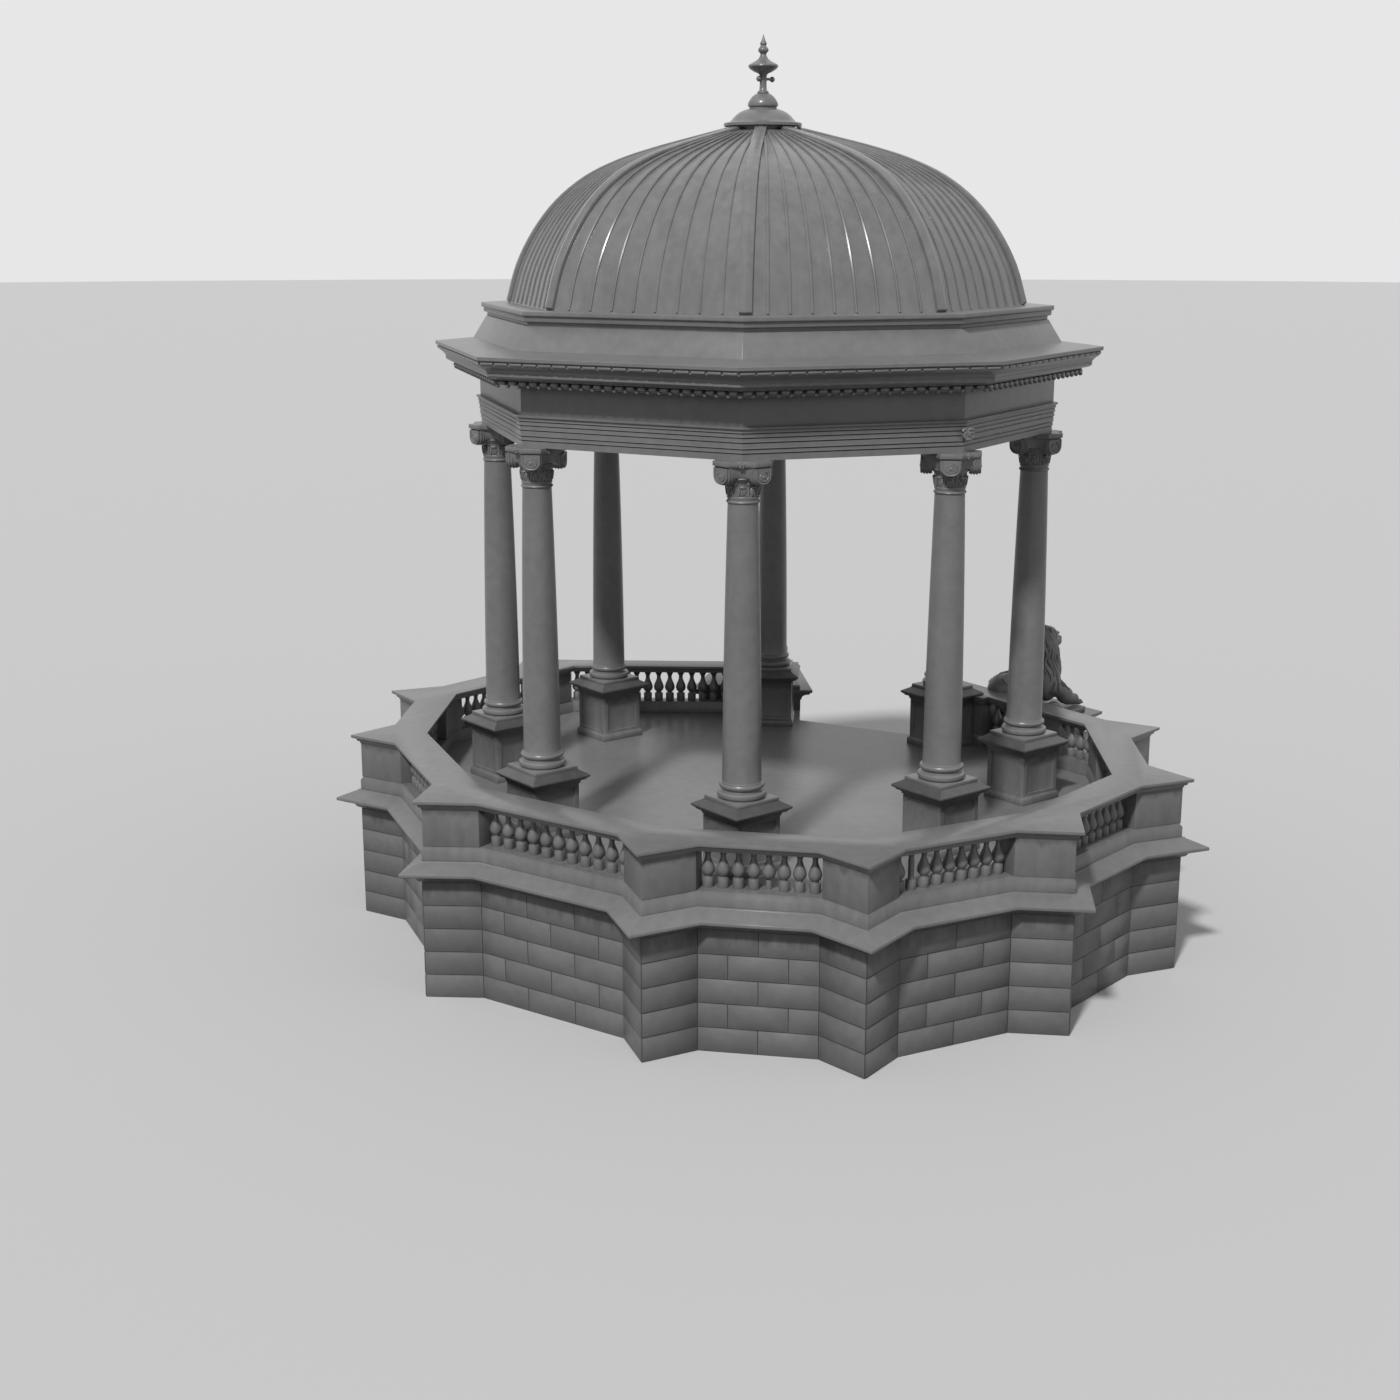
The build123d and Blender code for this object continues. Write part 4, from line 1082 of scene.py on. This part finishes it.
lionMesh = lionShape()
for node, columnNumber, side in (("lion_right", 0, -1), ("lion_left", 1, 1)):
    outward = columnPlaces[columnNumber].normalized()
    across = Vector((-outward.y, outward.x, 0)) * side
    further, aside, taller = lionLook["leftShift"] if side > 0 else (0, 0, 1)
    seat = outward * (lionLook["rump"] + further) + across * (lionLook["aside"] + aside)
    seat.z = lionLook["plinthTop"]
    turn = Matrix.Rotation(math.atan2(outward.y, outward.x), 4, "Z")
    turn = turn @ Matrix.Diagonal((lionLook["lengthened"], -side, taller, 1))
    bm = bmesh.new()
    stamp(bm, lionMesh, Matrix.Translation(seat) @ turn)
    if side > 0:
        bmesh.ops.reverse_faces(bm, faces=bm.faces)
    stamp(bm, lionPlinth(node), Matrix.Identity(4))
    showPiece("carved_" + node, bm, carvedStone, [node], 60)
print("lions carved")


# Floor, light and camera

lightLook = {
    "keyStrength": 2.4, "keyFrom": (-0.6, -0.34, 0.74), "keySoftness": 5,
    "fillStrength": 0.12, "fillFrom": (0.5, -0.85, 0.5), "fillSoftness": 60,
    "skyStrength": 0.38,      # from above
    "groundStrength": 0.06,   # from below
    "skyBlend": (-0.3, 0.6),  # slopes of view between which one turns into the other
    "paleFloor": 0.62,
    "floorBounce": 0.1,       # the floor's colour for the light that it throws back
    "paleBackdrop": 0.8,
    "floorRadius": 400,
}


def seenPlainly(nodes, links, low, high):
    # high where the eye, a reflection or a pane looks, and low for the light on the object
    rays = nodes.new("ShaderNodeLightPath").outputs
    seen = combined(nodes, links, "MAXIMUM", rays["Is Camera Ray"], rays["Is Transmission Ray"])
    seen = combined(nodes, links, "MAXIMUM", seen, rays["Is Glossy Ray"])
    if isinstance(low, float):
        return mapped(nodes, links, seen, 0, 1, low, high)
    level = mapped(nodes, links, seen, 0, 1, 0, high)
    links.new(low, level.node.inputs["To Min"])
    return level


def floorMaterial():
    material = bpy.data.materials.new("paleFloor")
    material.use_nodes = True
    nodes, links = material.node_tree.nodes, material.node_tree.links
    shader = nodes["Principled BSDF"]
    shader.inputs["Roughness"].default_value = 0.9
    tone = seenPlainly(nodes, links, lightLook["floorBounce"], lightLook["paleFloor"])
    links.new(tone, shader.inputs["Base Color"])
    return material


ground = bmesh.new()
bmesh.ops.create_circle(ground, cap_ends=True, segments=64, radius=lightLook["floorRadius"])
floorMesh = asMesh(ground, "studioFloor")
floorMesh.materials.append(floorMaterial())
studioFloor = bpy.data.objects.new("studio_floor", floorMesh)
scene.collection.objects.link(studioFloor)

for lampName in ("key", "fill"):
    lamp = bpy.data.lights.new(lampName, "SUN")
    lamp.energy = lightLook[lampName + "Strength"]
    lamp.angle = math.radians(lightLook[lampName + "Softness"])
    lampObject = bpy.data.objects.new(lampName, lamp)
    direction = Vector(lightLook[lampName + "From"])
    lampObject.rotation_euler = direction.to_track_quat("Z", "Y").to_euler()
    scene.collection.objects.link(lampObject)

world = bpy.data.worlds.new("studio")
scene.world = world
world.use_nodes = True
skyNodes, skyLinks = world.node_tree.nodes, world.node_tree.links
backdrop = skyNodes["Background"]
backdrop.inputs["Color"].default_value = (1, 1, 1, 1)
heading = skyNodes.new("ShaderNodeTexCoord")
parts = skyNodes.new("ShaderNodeSeparateXYZ")
skyLinks.new(heading.outputs["Generated"], parts.inputs["Vector"])
rise = mapped(skyNodes, skyLinks, parts.outputs["Z"], *lightLook["skyBlend"],
              lightLook["groundStrength"], lightLook["skyStrength"])
strength = seenPlainly(skyNodes, skyLinks, rise, lightLook["paleBackdrop"])
skyLinks.new(strength, backdrop.inputs["Strength"])

cameraLook = {
    "place": (-21.067, -25.1, 11.809),
    "heading": (0.601, 0.7629, -0.2383),
    "lens": 50,
    "sensor": 36,
    "farClip": 1000,
}
camera = bpy.data.objects.new("camera", bpy.data.cameras.new("camera"))
camera.data.lens = cameraLook["lens"]
camera.data.sensor_width = cameraLook["sensor"]
camera.data.clip_end = cameraLook["farClip"]
camera.location = cameraLook["place"]
camera.rotation_euler = Vector(cameraLook["heading"]).to_track_quat("-Z", "Y").to_euler()
scene.collection.objects.link(camera)
scene.camera = camera

print("scene ready")
